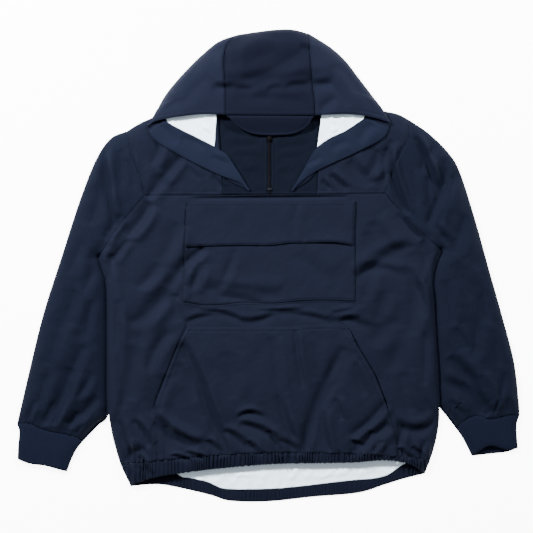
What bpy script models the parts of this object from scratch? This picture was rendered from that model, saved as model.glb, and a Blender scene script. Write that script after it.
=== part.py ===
"""Anorak pullover, laid flat on its back with its hood spread above the shoulders.

+X is the garment's left-to-right as it lies face up, +Y runs from hem to hood, +Z is up.
The cloth is a set of thin walls: each cut piece is a grid between its own seam lines, raised to
the height at which it lies. Tables are in millimetres; meshes are written in metres.
"""
from collections import namedtuple

import bmesh
import bpy
import numpy as np

MM = 0.001
WALL = 1.2              # shell cloth with its backing
LINING = 1.0            # lining cloth
GAP = 0.3               # air between neighbouring pieces
LAYER = WALL + GAP      # from one layer's top to the next one's top
DRAPE = 0.6             # air under a layer that lies loosely on another

CROWN = 12.0            # how far the front rises over its own edge
SIDE_ROLL = 32.0        # width of the rounding along the outline
SLEEVE_TOP = 15.0       # height of a sleeve
SLEEVE_EDGE = 3.6       # height of a sleeve's folded edge
CUFF_TOP = 9.5
CUFF_EDGE = 3.4
TUCK_END = -262         # y at which the sleeves come out from under the body
BICEPS_POINT = 40       # point of a sleeve's outer line level with its underarm
TUCK_LIFT = SLEEVE_EDGE + DRAPE   # the body's sides are lifted by the sleeves under them
FRONT_EDGE = 2.3        # height of the front's lower edge, just over the back
HEM_LIFT = 1.6          # front hem corners clear the gathered back casing
HOOD_REST = 15.4        # height at which the hood lies on the yokes
HOOD_TOP = 26.0         # height of the spread hood
HOOD_EDGE = 3.4         # thickness of the hood at its folded outline
HOOD_ROLL = 46.0
HOOD_DEPTH = 120.0      # typical length of the hood's upper layer
BRIM_WALL = 2.2
BRIM_LOW = 18.0         # height of the brim at its edge
FRONT_GATHERS = 46      # elastic gathers round the hem, front and back
BACK_GATHERS = 40
GATHER_DEPTH = 0.9

# Seam lines, each a few (x, y) points that a smooth line runs through.
SHOULDER_LEFT = ((-248, 236), (-225, 250), (-202, 260), (-172, 273), (-137, 288), (-95, 302))
SHOULDER_RIGHT = ((250, 254), (227, 266), (200, 272), (169, 283), (134, 293), (94, 304))
BACK_NECK = ((-95, 302), (-50, 293), (-1, 291), (48, 293), (94, 304))
ARMHOLE_LEFT = ((-248, 236), (-244, 216), (-236, 192), (-227, 163), (-216, 122))
UNDERARM_LEFT = ((-216, 122), (-244, 89), (-264, 64), (-284, 34), (-296, 15))
ARMHOLE_RIGHT = ((250, 254), (243, 223), (230, 194), (218, 164), (205, 125))
UNDERARM_RIGHT = ((205, 125), (222, 104), (244, 82), (274, 51), (302, 26))
SIDE_LEFT = ((-296, 15), (-289, -8), (-283, -34), (-282, -113), (-282, -190), (-281, -239),
             (-275, -293), (-259, -349), (-241, -387))
SIDE_RIGHT = ((302, 26), (293, 6), (287, -25), (289, -60), (292, -107), (297, -184),
              (299, -239), (299, -279), (290, -323), (274, -365))
NECK_LEFT = ((-81, 124), (-82, 185), (-85, 223), (-88, 262), (-91, 283), (-95, 302))
NECK_RIGHT = ((85, 125), (87, 176), (90, 223), (96, 262), (96, 283), (94, 304))

OUTER_LEFT = ((-248, 236), (-277, 223), (-303, 185), (-332, 111), (-362, 18), (-396, -89),
              (-423, -200), (-441, -278))
INNER_LEFT = ((-296, 15), (-281, -11), (-265, -60), (-261, -130), (-265, -200), (-281, -263),
              (-298, -280), (-326, -309))
OUTER_RIGHT = ((250, 254), (283, 231), (317, 197), (337, 162), (364, 77), (388, -9), (412, -94),
               (431, -168), (439, -234), (441, -262))
INNER_RIGHT = ((302, 26), (290, -1), (276, -39), (271, -99), (272, -165), (281, -218),
               (299, -247), (311, -262), (330, -287))
CUFF_SEAM_LEFT = ((-441, -278), (-417, -277), (-389, -288), (-364, -293), (-342, -299), (-326, -309))
CUFF_OUTER_LEFT = ((-441, -278), (-437, -291), (-439, -316), (-440, -339))
CUFF_INNER_LEFT = ((-326, -309), (-336, -322), (-345, -339), (-353, -361))
CUFF_MOUTH_LEFT = ((-440, -339), (-417, -347), (-389, -351), (-353, -361))
CUFF_SEAM_RIGHT = ((441, -262), (419, -262), (388, -268), (363, -263), (344, -270), (330, -287))
CUFF_OUTER_RIGHT = ((441, -262), (436, -277), (436, -295), (438, -320))
CUFF_INNER_RIGHT = ((330, -287), (336, -295), (344, -308), (357, -334))
CUFF_MOUTH_RIGHT = ((438, -320), (419, -327), (393, -330), (357, -334))
CUFF_LIP_RIGHT = ((438, -320), (417, -322), (390, -315), (372, -323), (357, -334))

HOOD_RIM_LEFT = ((-212, 242), (-200, 260), (-177, 302), (-134, 351), (-89, 391), (-53, 405))
HOOD_RIM_CENTRE = ((-53, 405), (-13, 411), (16, 414), (42, 414), (70, 407))
HOOD_RIM_RIGHT = ((70, 407), (107, 384), (134, 360), (156, 332), (179, 302), (200, 272), (214, 247))
HOOD_FRONT_LEFT = ((-206, 246), (-198, 251), (-180, 255), (-144, 260), (-111, 263), (-75, 262))
HOOD_FRONT_CENTRE = ((-75, 262), (3, 261), (81, 261))
HOOD_FRONT_RIGHT = ((81, 261), (134, 263), (169, 260), (192, 255), (208, 250))
HOOD_SEAM_LEFT = ((-75, 262), (-75, 299), (-77, 358), (-72, 385), (-53, 405))
HOOD_SEAM_RIGHT = ((81, 261), (80, 286), (76, 322), (73, 358), (70, 407))
LAPEL_LEFT = ((-212, 242), (-196, 218), (-151, 190), (-89, 159), (-49, 144), (-37, 132))
LAPEL_RIGHT = ((214, 247), (199, 221), (150, 195), (85, 165), (53, 142), (44, 131))
FACING_LEFT = ((-180, 253), (-160, 240), (-102, 211), (-74, 194), (-57, 171), (-32, 131))
FACING_RIGHT = ((170, 258), (134, 234), (107, 221), (81, 201), (62, 169), (39, 131))
HOOD_FOOT_LEFT = ((-37, 132), (-70, 150), (-83, 185), (-88, 240), (-84, 272), (-76, 290), (-66, 300))
HOOD_FOOT_CENTRE = ((-66, 300), (-1, 293), (64, 301))
HOOD_FOOT_RIGHT = ((64, 301), (76, 290), (85, 272), (92, 240), (88, 185), (74, 152), (44, 131))
LINING_LEFT = ((-184, 266), (-89, 279))        # upper corners of the hood's shown lining
LINING_RIGHT = ((172, 272), (95, 279))
BRIM_EDGE = ((-72, 261), (-59, 247), (-46, 237), (-30, 230), (-7, 227), (19, 227), (42, 229),
             (58, 235), (70, 244), (79, 260))
FRONT_HEM = ((-241, -387), (-220, -376), (-164, -364), (-62, -352), (24, -346), (137, -344),
             (207, -340), (250, -348), (274, -365))
BACK_CASING_TOP = ((-255, -359), (-207, -373), (-156, -370), (-109, -378), (-74, -391), (0, -391),
                   (51, -387), (137, -377), (200, -370), (235, -351), (284, -340))
BACK_HEM = ((-241, -387), (-195, -384), (-156, -390), (-101, -403), (-67, -413), (0, -414),
            (78, -406), (157, -399), (203, -385), (235, -375), (274, -365))

# Rows of the front. Beside the armholes they end at these shares of the underarm's length.
UNDERARM_SHARES = (0, 0.11, 0.28, 0.46, 0.64, 0.82, 1)
# Lower down a row is set by y at its left end; tilt raises its right end and arch its middle.
# The pockets' sides are at pocket_left and pocket_right, and steps is the number of grid rows
# from the station above.
Station = namedtuple("Station", "y tilt arch pocket_left pocket_right steps")
YOKE_SEAM = Station(122, 3, 0, -142, 152, 0)
FRONT_STATIONS = (
    Station(15, 11, 0, -146, 151, 0),
    Station(-4, 6, 0, -147, 151, 1),
    Station(-34, 0, 0, -149, 151, 2),
    Station(-68, 0, 0, -151, 151, 2),
    Station(-107, 0, 0, -143, 133, 2),
    Station(-142, 0, 0, -159, 156, 1),
    Station(-190, 0, 0, -178, 185, 2),
    Station(-239, 0, 0, -197, 204, 2),
    Station(-279, 0, 2, -203, 217, 2),
    Station(-317, 4, 8, -203, 224, 2),
    Station(-349, 10, 18, -202, 229, 2),
)
FLAP_TOP, FLAP_FOOT, POCKET_FOOT, KANGAROO_TOP, CASING_ROW = 1, 5, 11, 13, 24    # grid rows
POCKET_FIRST, POCKET_LAST = 7, 21       # grid columns of the pockets' sides

# Creases of the front and sleeves. A crease sinks by depth along its line, with a ridge of
# height lift beside it (on its left going from start to end); bow bends the line to that side.
Crease = namedtuple("Crease", "x0 y0 x1 y1 bow width depth lift")
CREASES = (
    Crease(-113, 33, -174, -41, -6, 9, 3.2, 1.6),
    Crease(-174, -41, -243, -103, 8, 10, 3.0, 1.2),
    Crease(-166, -50, -159, -99, 0, 10, 1.8, 0.8),
    Crease(-152, -67, -113, -98, 0, 9, 2.2, 1.0),
    Crease(-91, -83, 99, -76, 0, 8, 2.2, 1.0),
    Crease(65, -99, 168, -93, 6, 8, 1.6, 1.0),
    Crease(153, -29, 246, 21, 8, 11, 2.8, 1.6),
    Crease(157, -18, 260, -72, 22, 12, 1.8, 1.8),
    Crease(216, -90, 180, -138, 0, 15, 2.2, 1.0),
    Crease(-152, -138, -72, -324, 8, 12, 3.4, 1.8),
    Crease(12, -151, 12, -205, 0, 14, 1.4, 0.6),
    Crease(-64, -275, 52, -331, 6, 9, 2.6, 1.4),
    Crease(12, -249, 54, -329, -4, 9, 2.6, 1.4),
    Crease(118, -156, 58, -329, 0, 16, 2.6, 1.2),
    Crease(209, -251, 129, -316, 6, 10, 2.4, 1.4),
    Crease(211, -275, 140, -333, 0, 9, 2.6, 1.6),
    Crease(223, -277, 291, -275, -14, 9, 2.8, 1.4),
    Crease(-201, -276, -123, -318, -6, 10, 2.8, 1.6),
    Crease(-250, -342, -214, -320, 4, 9, 1.8, 0.8),
    Crease(-263, -99, -254, -249, 0, 12, 1.4, 0.6),
    Crease(-155, 187, -216, 117, 0, 14, 1.6, 1.0),
    Crease(-286, 204, -265, 68, 0, 10, 3.0, 1.2),
    Crease(-345, -180, -389, -278, 6, 10, 2.8, 1.4),
    Crease(-298, -229, -352, -278, 4, 9, 2.6, 1.2),
    Crease(334, 168, 285, 62, -10, 11, 2.8, 1.6),
    Crease(207, 200, 239, 92, 0, 9, 3.2, 1.2),
    Crease(276, 190, 288, 111, -6, 9, 2.2, 1.2),
    Crease(316, -160, 384, -263, 6, 11, 3.0, 1.6),
    Crease(301, -200, 377, -251, 6, 9, 2.4, 1.2),
    Crease(268, 45, 285, -34, 0, 8, 2.2, 0.8),
    Crease(-274, 21, -279, -28, 0, 8, 1.8, 0.6),
)
HOOD_CREASES = (
    Crease(-100, 306, 115, 316, 8, 12, 2.2, 1.2),
    Crease(68, 381, -46, 322, 8, 13, 2.2, 1.2),
    Crease(117, 293, 88, 270, 0, 9, 1.8, 0.8),
    Crease(-111, 368, -33, 402, 0, 12, 1.6, 1.0),
)

Finish = namedtuple("Finish", "red green blue roughness metallic")
NAVY = Finish(0.018, 0.027, 0.055, 0.75, 0.0)
DARK_NAVY = Finish(0.010, 0.014, 0.030, 0.8, 0.0)
KNIT = Finish(0.010, 0.018, 0.038, 0.95, 0.0)
PALE_BLUE = Finish(0.62, 0.75, 0.93, 0.6, 0.0)
ZIP_COIL = Finish(0.02, 0.018, 0.018, 0.45, 0.0)
BRASS = Finish(0.35, 0.27, 0.13, 0.35, 1.0)
NICKEL = Finish(0.72, 0.73, 0.75, 0.25, 1.0)


def spline(knots, steps=10):
    """Points along a smooth line through the knots."""
    knots = np.asarray(knots, float)
    padded = np.vstack([2 * knots[0] - knots[1], knots, 2 * knots[-1] - knots[-2]])
    t = np.linspace(0, 1, steps, endpoint=False)[:, None]
    spans = []
    for a, b, c, d in zip(padded, padded[1:], padded[2:], padded[3:]):
        spans.append(b + 0.5 * t * (c - a + t * (2 * a - 5 * b + 4 * c - d + t * (3 * b - a - 3 * c + d))))
    return np.vstack(spans + [knots[-1:]])


def joined(*lines):
    """One line from several that follow each other."""
    return np.vstack([lines[0]] + [line[1:] for line in lines[1:]])


def along(line, share):
    """The points at these shares of a line's length."""
    return np.stack([np.interp(share, shares_of(line), line[:, axis]) for axis in (0, 1)], axis=-1)


def shares_of(line):
    """The share of a line's length at each of its points."""
    place = np.r_[0, np.cumsum(np.linalg.norm(np.diff(line, axis=0), axis=1))]
    return place / place[-1]


def moved_aside(line, amount):
    """The line moved to its left by amount."""
    run = np.gradient(line, axis=0)
    run /= np.linalg.norm(run, axis=1)[:, None]
    return line + amount * np.stack([-run[:, 1], run[:, 0]], axis=1)


def distance(line, x, y):
    """Distance of each point from a line."""
    x, y = np.asarray(x, float), np.asarray(y, float)
    nearest = np.full(x.shape, np.inf)
    for (ax, ay), (bx, by) in zip(line[:-1], line[1:]):
        run_x, run_y = bx - ax, by - ay
        share = np.clip(((x - ax) * run_x + (y - ay) * run_y) / (run_x ** 2 + run_y ** 2), 0, 1)
        nearest = np.minimum(nearest, np.hypot(x - ax - share * run_x, y - ay - share * run_y))
    return nearest


def swell(depth_in, roll):
    """Quarter-ellipse rise from 0 at an edge to 1 at the roll's width."""
    share = np.clip(depth_in / roll, 0, 1)
    return np.sqrt(1 - (1 - share) ** 2)


def ramp(value, low, high):
    """Smooth step from 0 at low to 1 at high."""
    share = np.clip((value - low) / (high - low), 0, 1)
    return share * share * (3 - 2 * share)


def relief(creases, x, y):
    """Height added by the creases."""
    height = np.zeros(np.shape(x))
    for c in creases:
        run = np.hypot(c.x1 - c.x0, c.y1 - c.y0)
        ux, uy = (c.x1 - c.x0) / run, (c.y1 - c.y0) / run
        ahead = ((x - c.x0) * ux + (y - c.y0) * uy) / run
        inside = np.clip(ahead, 0, 1)
        aside = (y - c.y0) * ux - (x - c.x0) * uy - 4 * c.bow * inside * (1 - inside)
        past_end = np.maximum(np.abs(ahead - 0.5) - 0.5, 0) * run
        fade = np.sqrt(np.clip(4 * inside * (1 - inside), 0, 1)) * np.exp(-(past_end / c.width) ** 2)
        trough = np.exp(-(aside / c.width) ** 2)
        ridge = np.exp(-((aside - 1.8 * c.width) / c.width) ** 2)
        height += fade * (c.lift * ridge - c.depth * trough)
    return height


side_left, side_right = spline(SIDE_LEFT), spline(SIDE_RIGHT)
inner_left, inner_right = spline(INNER_LEFT), spline(INNER_RIGHT)
outer_left, outer_right = spline(OUTER_LEFT), spline(OUTER_RIGHT)
shoulder_left, shoulder_right = spline(SHOULDER_LEFT), spline(SHOULDER_RIGHT)
top_edge = joined(shoulder_left, spline(BACK_NECK), shoulder_right[::-1])
underarm_left, underarm_right = spline(UNDERARM_LEFT), spline(UNDERARM_RIGHT)
lapel_left, lapel_right = spline(LAPEL_LEFT), spline(LAPEL_RIGHT)
hood_rim = joined(spline(HOOD_RIM_LEFT), spline(HOOD_RIM_CENTRE), spline(HOOD_RIM_RIGHT))
cuff_seam_left, cuff_seam_right = spline(CUFF_SEAM_LEFT), spline(CUFF_SEAM_RIGHT)


def x_on(line, y):
    """x of a line that runs downwards, at these heights."""
    return np.interp(-np.asarray(y, float), -line[:, 1], line[:, 0])


def tuck_lift(x, y):
    """How far the body's side is lifted by the sleeve tucked under it."""
    lifted = np.zeros(np.shape(x))
    for line, side in ((inner_left, 1), (inner_right, -1)):
        past = side * (np.asarray(x, float) - x_on(line, y))
        reach = ramp(-y, -line[0, 1] - 34, -line[0, 1] - 4) * (1 - ramp(-y, 268, 300))
        lifted = np.maximum(lifted, (1 - ramp(past, 5, 22)) * reach)
    return TUCK_LIFT * lifted


def back_height(x, y):
    """Underside of the back, flat on the ground but for its lifted sides."""
    return tuck_lift(x, y)


def front_height(x, y):
    """Top of the front and yokes."""
    depth_in = np.minimum(distance(side_left, x, y), distance(side_right, x, y))
    depth_in = np.minimum(depth_in, distance(joined(outer_left[::-1], top_edge, outer_right), x, y))
    rise = swell(depth_in, SIDE_ROLL)
    hem = HEM_LIFT * ramp(-y, 320, 345)
    low = FRONT_EDGE + tuck_lift(x, y) + hem
    return low + (CROWN - hem) * rise + relief(CREASES, x, y) * rise ** 2


def sleeve_height(toward_body, body_side, outer, inner, seam):
    """Top of a sleeve, flattened where the body's side lies on it and where the cuff gathers it."""
    shown = joined(body_side[body_side[:, 1] > TUCK_END + 15], inner[inner[:, 1] < TUCK_END])

    def height(x, y):
        beyond = (toward_body * (x - x_on(shown, y)) > 0) & (y < shown[0, 1])
        inward = np.where(beyond, 0, np.maximum(distance(shown, x, y) - 4, 0))
        rise = swell(np.minimum(distance(outer, x, y), inward), SIDE_ROLL)
        gathered = 0.35 * (1 - ramp(distance(seam, x, y), 0, 34))
        crown = (SLEEVE_TOP - SLEEVE_EDGE) * (1 - gathered)
        return SLEEVE_EDGE + crown * rise + relief(CREASES, x, y) * rise ** 2
    return height


def hood_rest(x, y):
    """Underside of the hood: on the ground above the shoulders and at the back of the neck, and on
    the yokes below the shoulders."""
    shoulder_y = np.interp(x, top_edge[:, 0], top_edge[:, 1])
    below = distance(top_edge, x, y) * np.where(y < shoulder_y, 1, -1)
    neck = ramp(-np.abs(x), -88, -64) * ramp(y, 272, 292)
    return HOOD_REST * swell(below + 14, SIDE_ROLL + 14) * (1 - neck)


def hood_height(x, y):
    """Top of the spread hood."""
    rise = swell(distance(hood_rim, x, y), HOOD_ROLL)
    edge = hood_rest(x, y) + HOOD_EDGE
    return edge + np.maximum(HOOD_TOP - edge, 4) * rise + relief(HOOD_CREASES, x, y) * rise ** 2


def patch(bottom, top, left, right):
    """Plan of a four-sided piece; left and right run from bottom to top."""
    def plan(u, v):
        u, v = np.broadcast_arrays(np.asarray(u, float), np.asarray(v, float))
        across, up = u[..., None], v[..., None]
        sides = (1 - across) * along(left, v) + across * along(right, v)
        ends = (1 - up) * along(bottom, u) + up * along(top, u)
        corners = ((1 - across) * ((1 - up) * bottom[0] + up * top[0])
                   + across * ((1 - up) * bottom[-1] + up * top[-1]))
        return sides + ends - corners
    return plan


def raised(plan, height):
    """Plan points (..., 2) with their height as a third number."""
    z = height(plan[..., 0], plan[..., 1])
    return np.concatenate([plan, z[..., None]], axis=-1)


def cloth(name, finish, grid, wall=WALL, flip=False, closed=False, slit=(0, 0)):
    """A wall whose outer face is the grid of (row, column, xyz) points.

    The wall grows inwards. flip turns a piece that faces the ground; closed joins the columns
    into a tube, slit along one column for its first rows.
    """
    rows, columns = grid.shape[:2]
    mesh = bmesh.new()
    points = [[mesh.verts.new(point * MM) for point in row] for row in grid]
    for row in range(rows - 1):
        for column in range(columns if closed else columns - 1):
            if row < slit[0] and column == slit[1]:
                continue
            after = (column + 1) % columns
            corners = [points[row][column], points[row][after],
                       points[row + 1][after], points[row + 1][column]]
            mesh.faces.new(corners[::-1] if flip else corners)
    return finished(name, finish, mesh, wall)


def finished(name, finish, mesh, wall=0):
    """The named object of a mesh, with its material and, for a wall, its thickness."""
    data = bpy.data.meshes.new(name)
    mesh.to_mesh(data)
    mesh.free()
    data.shade_smooth()
    piece = bpy.data.objects.new(name, data)
    garment.objects.link(piece)
    data.materials.append(material(name, finish))
    if wall:
        solid = piece.modifiers.new("Wall", "SOLIDIFY")
        solid.thickness = wall * MM
        solid.offset = -1
        solid.use_rim = True
    return piece


def material(name, finish):
    made = bpy.data.materials.new(name)
    made.use_nodes = True
    shader = made.node_tree.nodes["Principled BSDF"]
    shader.inputs["Base Color"].default_value = (finish.red, finish.green, finish.blue, 1)
    shader.inputs["Roughness"].default_value = finish.roughness
    shader.inputs["Metallic"].default_value = finish.metallic
    return made


def moved_out(grid, amount):
    """A grid's points moved out along the surface's normals."""
    down_rows, along_columns = np.gradient(grid, axis=0), np.gradient(grid, axis=1)
    normal = np.cross(along_columns, down_rows)
    normal *= np.sign(normal[..., 2:]) / np.linalg.norm(normal, axis=-1, keepdims=True)
    return grid + amount * normal


def from_edges(width, left_steps, right_steps, middle):
    """Shares across a width: set distances in from both edges and even steps between them."""
    left = [step / width for step in left_steps]
    right = [1 - step / width for step in reversed(right_steps)]
    return np.r_[left, np.linspace(left[-1], right[0], middle + 1)[1:-1], right]


# Shares of an armhole's length, from the shoulder, at which the pieces beside it have points.
ARMHOLE_SHARES = from_edges(130, (0, 3, 9, 18, 30), (0,), 9)


def front_rows():
    """Left end, right end, arch and pocket sides of each row of the front."""
    rows = []
    first = FRONT_STATIONS[0]
    for share in UNDERARM_SHARES:
        sides = [a + share * (b - a) for a, b in zip(YOKE_SEAM[3:5], first[3:5])]
        rows.append((along(underarm_left, share), along(underarm_right, share), 0, *sides))
    for above, below in zip(FRONT_STATIONS, FRONT_STATIONS[1:]):
        for step in range(1, below.steps + 1):
            share = step / below.steps
            y, tilt, arch, *sides = [a + share * (b - a) for a, b in zip(above[:5], below[:5])]
            left_end = np.array((x_on(side_left, y), y))
            right_end = np.array((x_on(side_right, y + tilt), y + tilt))
            rows.append((left_end, right_end, arch, *sides))
    return rows


def front_grid():
    """Points of the front, from the yoke seam down to the casing seam."""
    grid = []
    for (left, left_y), (right, right_y), arch, pocket_left, pocket_right in front_rows():
        steps = np.array((0, 2, 7, 15, 27)) * min(1, (right - pocket_right) / 50)
        xs = np.r_[left + steps, np.linspace(left + steps[-1], pocket_left, 4)[1:-1],
                   np.linspace(pocket_left, pocket_right, 15),
                   (pocket_right + right - steps[-1]) / 2, right - steps[::-1]]
        share = (xs - left) / (right - left)
        ys = left_y + (right_y - left_y) * share + arch * 4 * share * (1 - share)
        grid.append(np.stack([xs, ys], axis=1))
    return raised(np.array(grid), front_height)


def make_front():
    grid = front_grid()
    cloth("front_body", NAVY, grid[::-1])
    pocket = slice(POCKET_FIRST, POCKET_LAST + 1)
    lower, upper = moved_out(grid, LAYER), moved_out(grid, 2 * LAYER)
    cloth("kangaroo_pocket", NAVY, lower[KANGAROO_TOP:CASING_ROW + 1, pocket][::-1])
    opening = FLAP_TOP + 1
    cloth("chest_pocket", NAVY, lower[opening:POCKET_FOOT + 1, pocket][::-1])
    upper[:opening] = lower[:opening]
    cloth("chest_flap", NAVY, upper[FLAP_TOP:FLAP_FOOT + 1, pocket][::-1])


def make_yokes():
    """Left and right yokes, from the yoke seam up to the shoulder line."""
    u = np.linspace(0, 1, 7)[None, :]
    for side, armhole, shoulder, neck, mirror in (
            ("left", spline(ARMHOLE_LEFT), shoulder_left, spline(NECK_LEFT), 1),
            ("right", spline(ARMHOLE_RIGHT), shoulder_right, spline(NECK_RIGHT), -1)):
        v = 1 - ARMHOLE_SHARES[::-1, None]
        up = moved_aside(armhole, 2 * GAP * mirror)[::-1]
        up[0] += (0, GAP)
        neck = neck - (mirror * GAP, 0)
        neck[-1] = shoulder[-1]
        plan = patch(np.array((up[0], neck[0])), shoulder, up, neck)
        cloth("front_yoke_" + side, NAVY, raised(plan(u, v), front_height), flip=mirror < 0)


def make_neck():
    """The neck insert's halves, the zip between them and its metal parts."""
    zip_x, zip_half, top_y, foot_y = 2.0, 3.0, 268, 125.5
    for side, neck, mirror in (("left", spline(NECK_LEFT), 1), ("right", spline(NECK_RIGHT), -1)):
        ys = np.linspace(foot_y, top_y, 10)
        outer = np.interp(ys, neck[:, 1], neck[:, 0]) + mirror * GAP
        inner = zip_x - mirror * (zip_half + GAP)
        share = np.linspace(0, 1, 7)[None, :]
        xs = outer[:, None] * (1 - share) + inner * share
        grid = np.stack([xs, np.broadcast_to(ys[:, None], xs.shape)], axis=-1)
        cloth("neck_guard_" + side, DARK_NAVY, raised(grid, neck_height), flip=mirror < 0)
    ys = np.linspace(foot_y, top_y, 15)
    xs = np.array((zip_x - zip_half, zip_x, zip_x + zip_half))
    chain = np.stack(np.broadcast_arrays(xs[None, :], ys[:, None]), axis=-1)
    grid = raised(chain, neck_height)
    grid[:, 1, 2] += 0.8
    cloth("zip_chain", ZIP_COIL, grid, wall=1.4)
    stop = block("zip_stop", NICKEL, (8.0, 4.0, 1.6), 0.4)
    place_on_chain(stop, zip_x, 133, 1.6)
    slider = block("zip_slider", BRASS, (8.5, 10.0, 3.4), 0.9)
    place_on_chain(slider, zip_x, 221, 3.4)


def neck_height(x, y):
    return front_height(x, y) - 1.2 * ramp(y, 130, 160)


def place_on_chain(piece, x, y, thickness):
    tops = [float(neck_height(x, y + step)) for step in (-5, 0, 5)]
    piece.location = (x * MM, y * MM, (max(tops) + 0.8 + GAP + thickness / 2) * MM)


def block(name, finish, size, edge):
    """A small rounded metal part."""
    mesh = bmesh.new()
    bmesh.ops.create_cube(mesh, size=1)
    bmesh.ops.scale(mesh, vec=[side * MM for side in size], verts=mesh.verts)
    piece = finished(name, finish, mesh)
    bevel = piece.modifiers.new("Edges", "BEVEL")
    bevel.width = edge * MM
    bevel.segments = 2
    return piece


def make_back():
    """The back, its lining in the hem's mouth and the gathered back casing."""
    casing_top = spline(BACK_CASING_TOP)
    left, right = side_left[::-1], side_right[::-1]
    left = np.vstack([casing_top[:1], left[left[:, 1] > casing_top[0, 1] + 3]])
    right = np.vstack([casing_top[-1:], right[right[:, 1] > casing_top[-1, 1] + 3]])
    armpits, yoke = np.array((left[-1], right[-1])), np.array((underarm_left[0], underarm_right[0]))
    u = from_edges(580, (0, 8, 18, 27, 38), (0, 8, 18, 27, 38), 6)[None, :]
    upper_v = 1 - ARMHOLE_SHARES[::-3]
    row_y = [end[1] for end, *_ in front_rows()[:len(UNDERARM_SHARES) - 1:-1]]
    v = np.r_[0, np.interp(row_y[:7] + row_y[8::2], left[:, 1], shares_of(left))]
    underarm_v = 1 - np.array(UNDERARM_SHARES)[::-1]
    below = patch(casing_top, armpits, left, right)
    beside = patch(armpits, yoke, underarm_left[::-1], underarm_right[::-1])
    above = patch(yoke, top_edge, spline(ARMHOLE_LEFT)[::-1], spline(ARMHOLE_RIGHT)[::-1])
    plan = np.concatenate([
        below(u, v[:, None]), beside(u, underarm_v[:-1, None]), above(u, upper_v[:, None])])
    cloth("back_body", NAVY, raised(plan, back_height), flip=True)

    foot = plan[0]
    strip = along(foot + (0, 2), np.linspace(0.02, 0.98, 19))[None] + LINING_REACH
    cloth("back_lining", PALE_BLUE, raised(strip, lining_height), LINING)
    top = gathered(strip_plan(spline(BACK_HEM), foot - (0, 3 * GAP), BACK_GATHERS), 0.4, back_casing_height)
    solid_strip("hem_casing_back", NAVY, top)


LINING_REACH = np.linspace(0, 1, 4)[:, None, None] * (0, 62)


def lining_height(x, y):
    return back_height(x, y) + WALL + GAP + LINING


def back_casing_height(x, y):
    return np.full(np.shape(x), 1.9)


def strip_plan(foot, head, waves):
    """Points of a strip, two columns for each gather and three rows."""
    u = np.linspace(0, 1, 2 * waves + 1)[None, :]
    v = np.array((0, 0.5, 1))[:, None, None]
    return (1 - v) * along(foot, u) + v * along(head, u)


def gathered(plan, depth, height):
    """A strip whose every other column stands up as a gather, uneven from one to the next."""
    grid = raised(plan, height)
    waves = np.arange(grid.shape[1])
    unevenness = 0.75 + 0.25 * np.sin(waves * 1.7)
    grid[..., 2] += depth * unevenness * np.where(waves % 2, 1, -1)
    return grid


def solid_strip(name, finish, top):
    """A strip that is gathered above and flat underneath, where it lies on the ground."""
    under = top.copy()
    under[..., 2] = 0
    rows, columns = top.shape[:2]
    mesh = bmesh.new()
    upper = [[mesh.verts.new(point * MM) for point in row] for row in top]
    lower = [[mesh.verts.new(point * MM) for point in row] for row in under]
    for row in range(rows - 1):
        for column in range(columns - 1):
            corners = ((row, column), (row, column + 1), (row + 1, column + 1), (row + 1, column))
            mesh.faces.new([upper[i][j] for i, j in corners])
            mesh.faces.new([lower[i][j] for i, j in reversed(corners)])
    border = [(0, j) for j in range(columns)] + [(i, columns - 1) for i in range(1, rows)]
    border += [(rows - 1, j) for j in range(columns - 2, -1, -1)] + [(i, 0) for i in range(rows - 2, 0, -1)]
    for (i, j), (k, m) in zip(border, border[1:] + border[:1]):
        mesh.faces.new([upper[k][m], upper[i][j], lower[i][j], lower[k][m]])
    finished(name, finish, mesh)


def make_front_casing():
    seam = front_grid()[CASING_ROW, :, :2] - (0, GAP)
    plan = strip_plan(spline(FRONT_HEM), seam, FRONT_GATHERS)
    cloth("hem_casing_front", NAVY, gathered(plan, GATHER_DEPTH, front_casing_height), wall=1.0)


def front_casing_height(x, y):
    return np.maximum(front_height(x, y), WALL + HEM_LIFT + GAP + GATHER_DEPTH + 1)


def tube_grid(top, under, edge, open_rows=0):
    """Points round a flattened tube from its raised top and the plan of its flat underside.

    Both run from the outer edge to the inner one. open_rows are left open along the inner edge.
    """
    top[:, 0, 2] = edge
    top[open_rows:, -1, 2] = edge
    under = np.concatenate([under, np.zeros(under.shape[:2] + (1,))], axis=-1)[:, ::-1]
    return np.concatenate([top, under], axis=1)


UNDER_COLUMNS = (1, 4, 7, 10, 13)      # columns of a tube's top that its underside repeats
CUFF_COLUMNS = np.array((0, 0.015, 0.05, 0.12, 0.22, 0.34, 0.46, 0.58, 0.7, 0.8, 0.89, 0.95, 0.985, 1))


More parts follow.
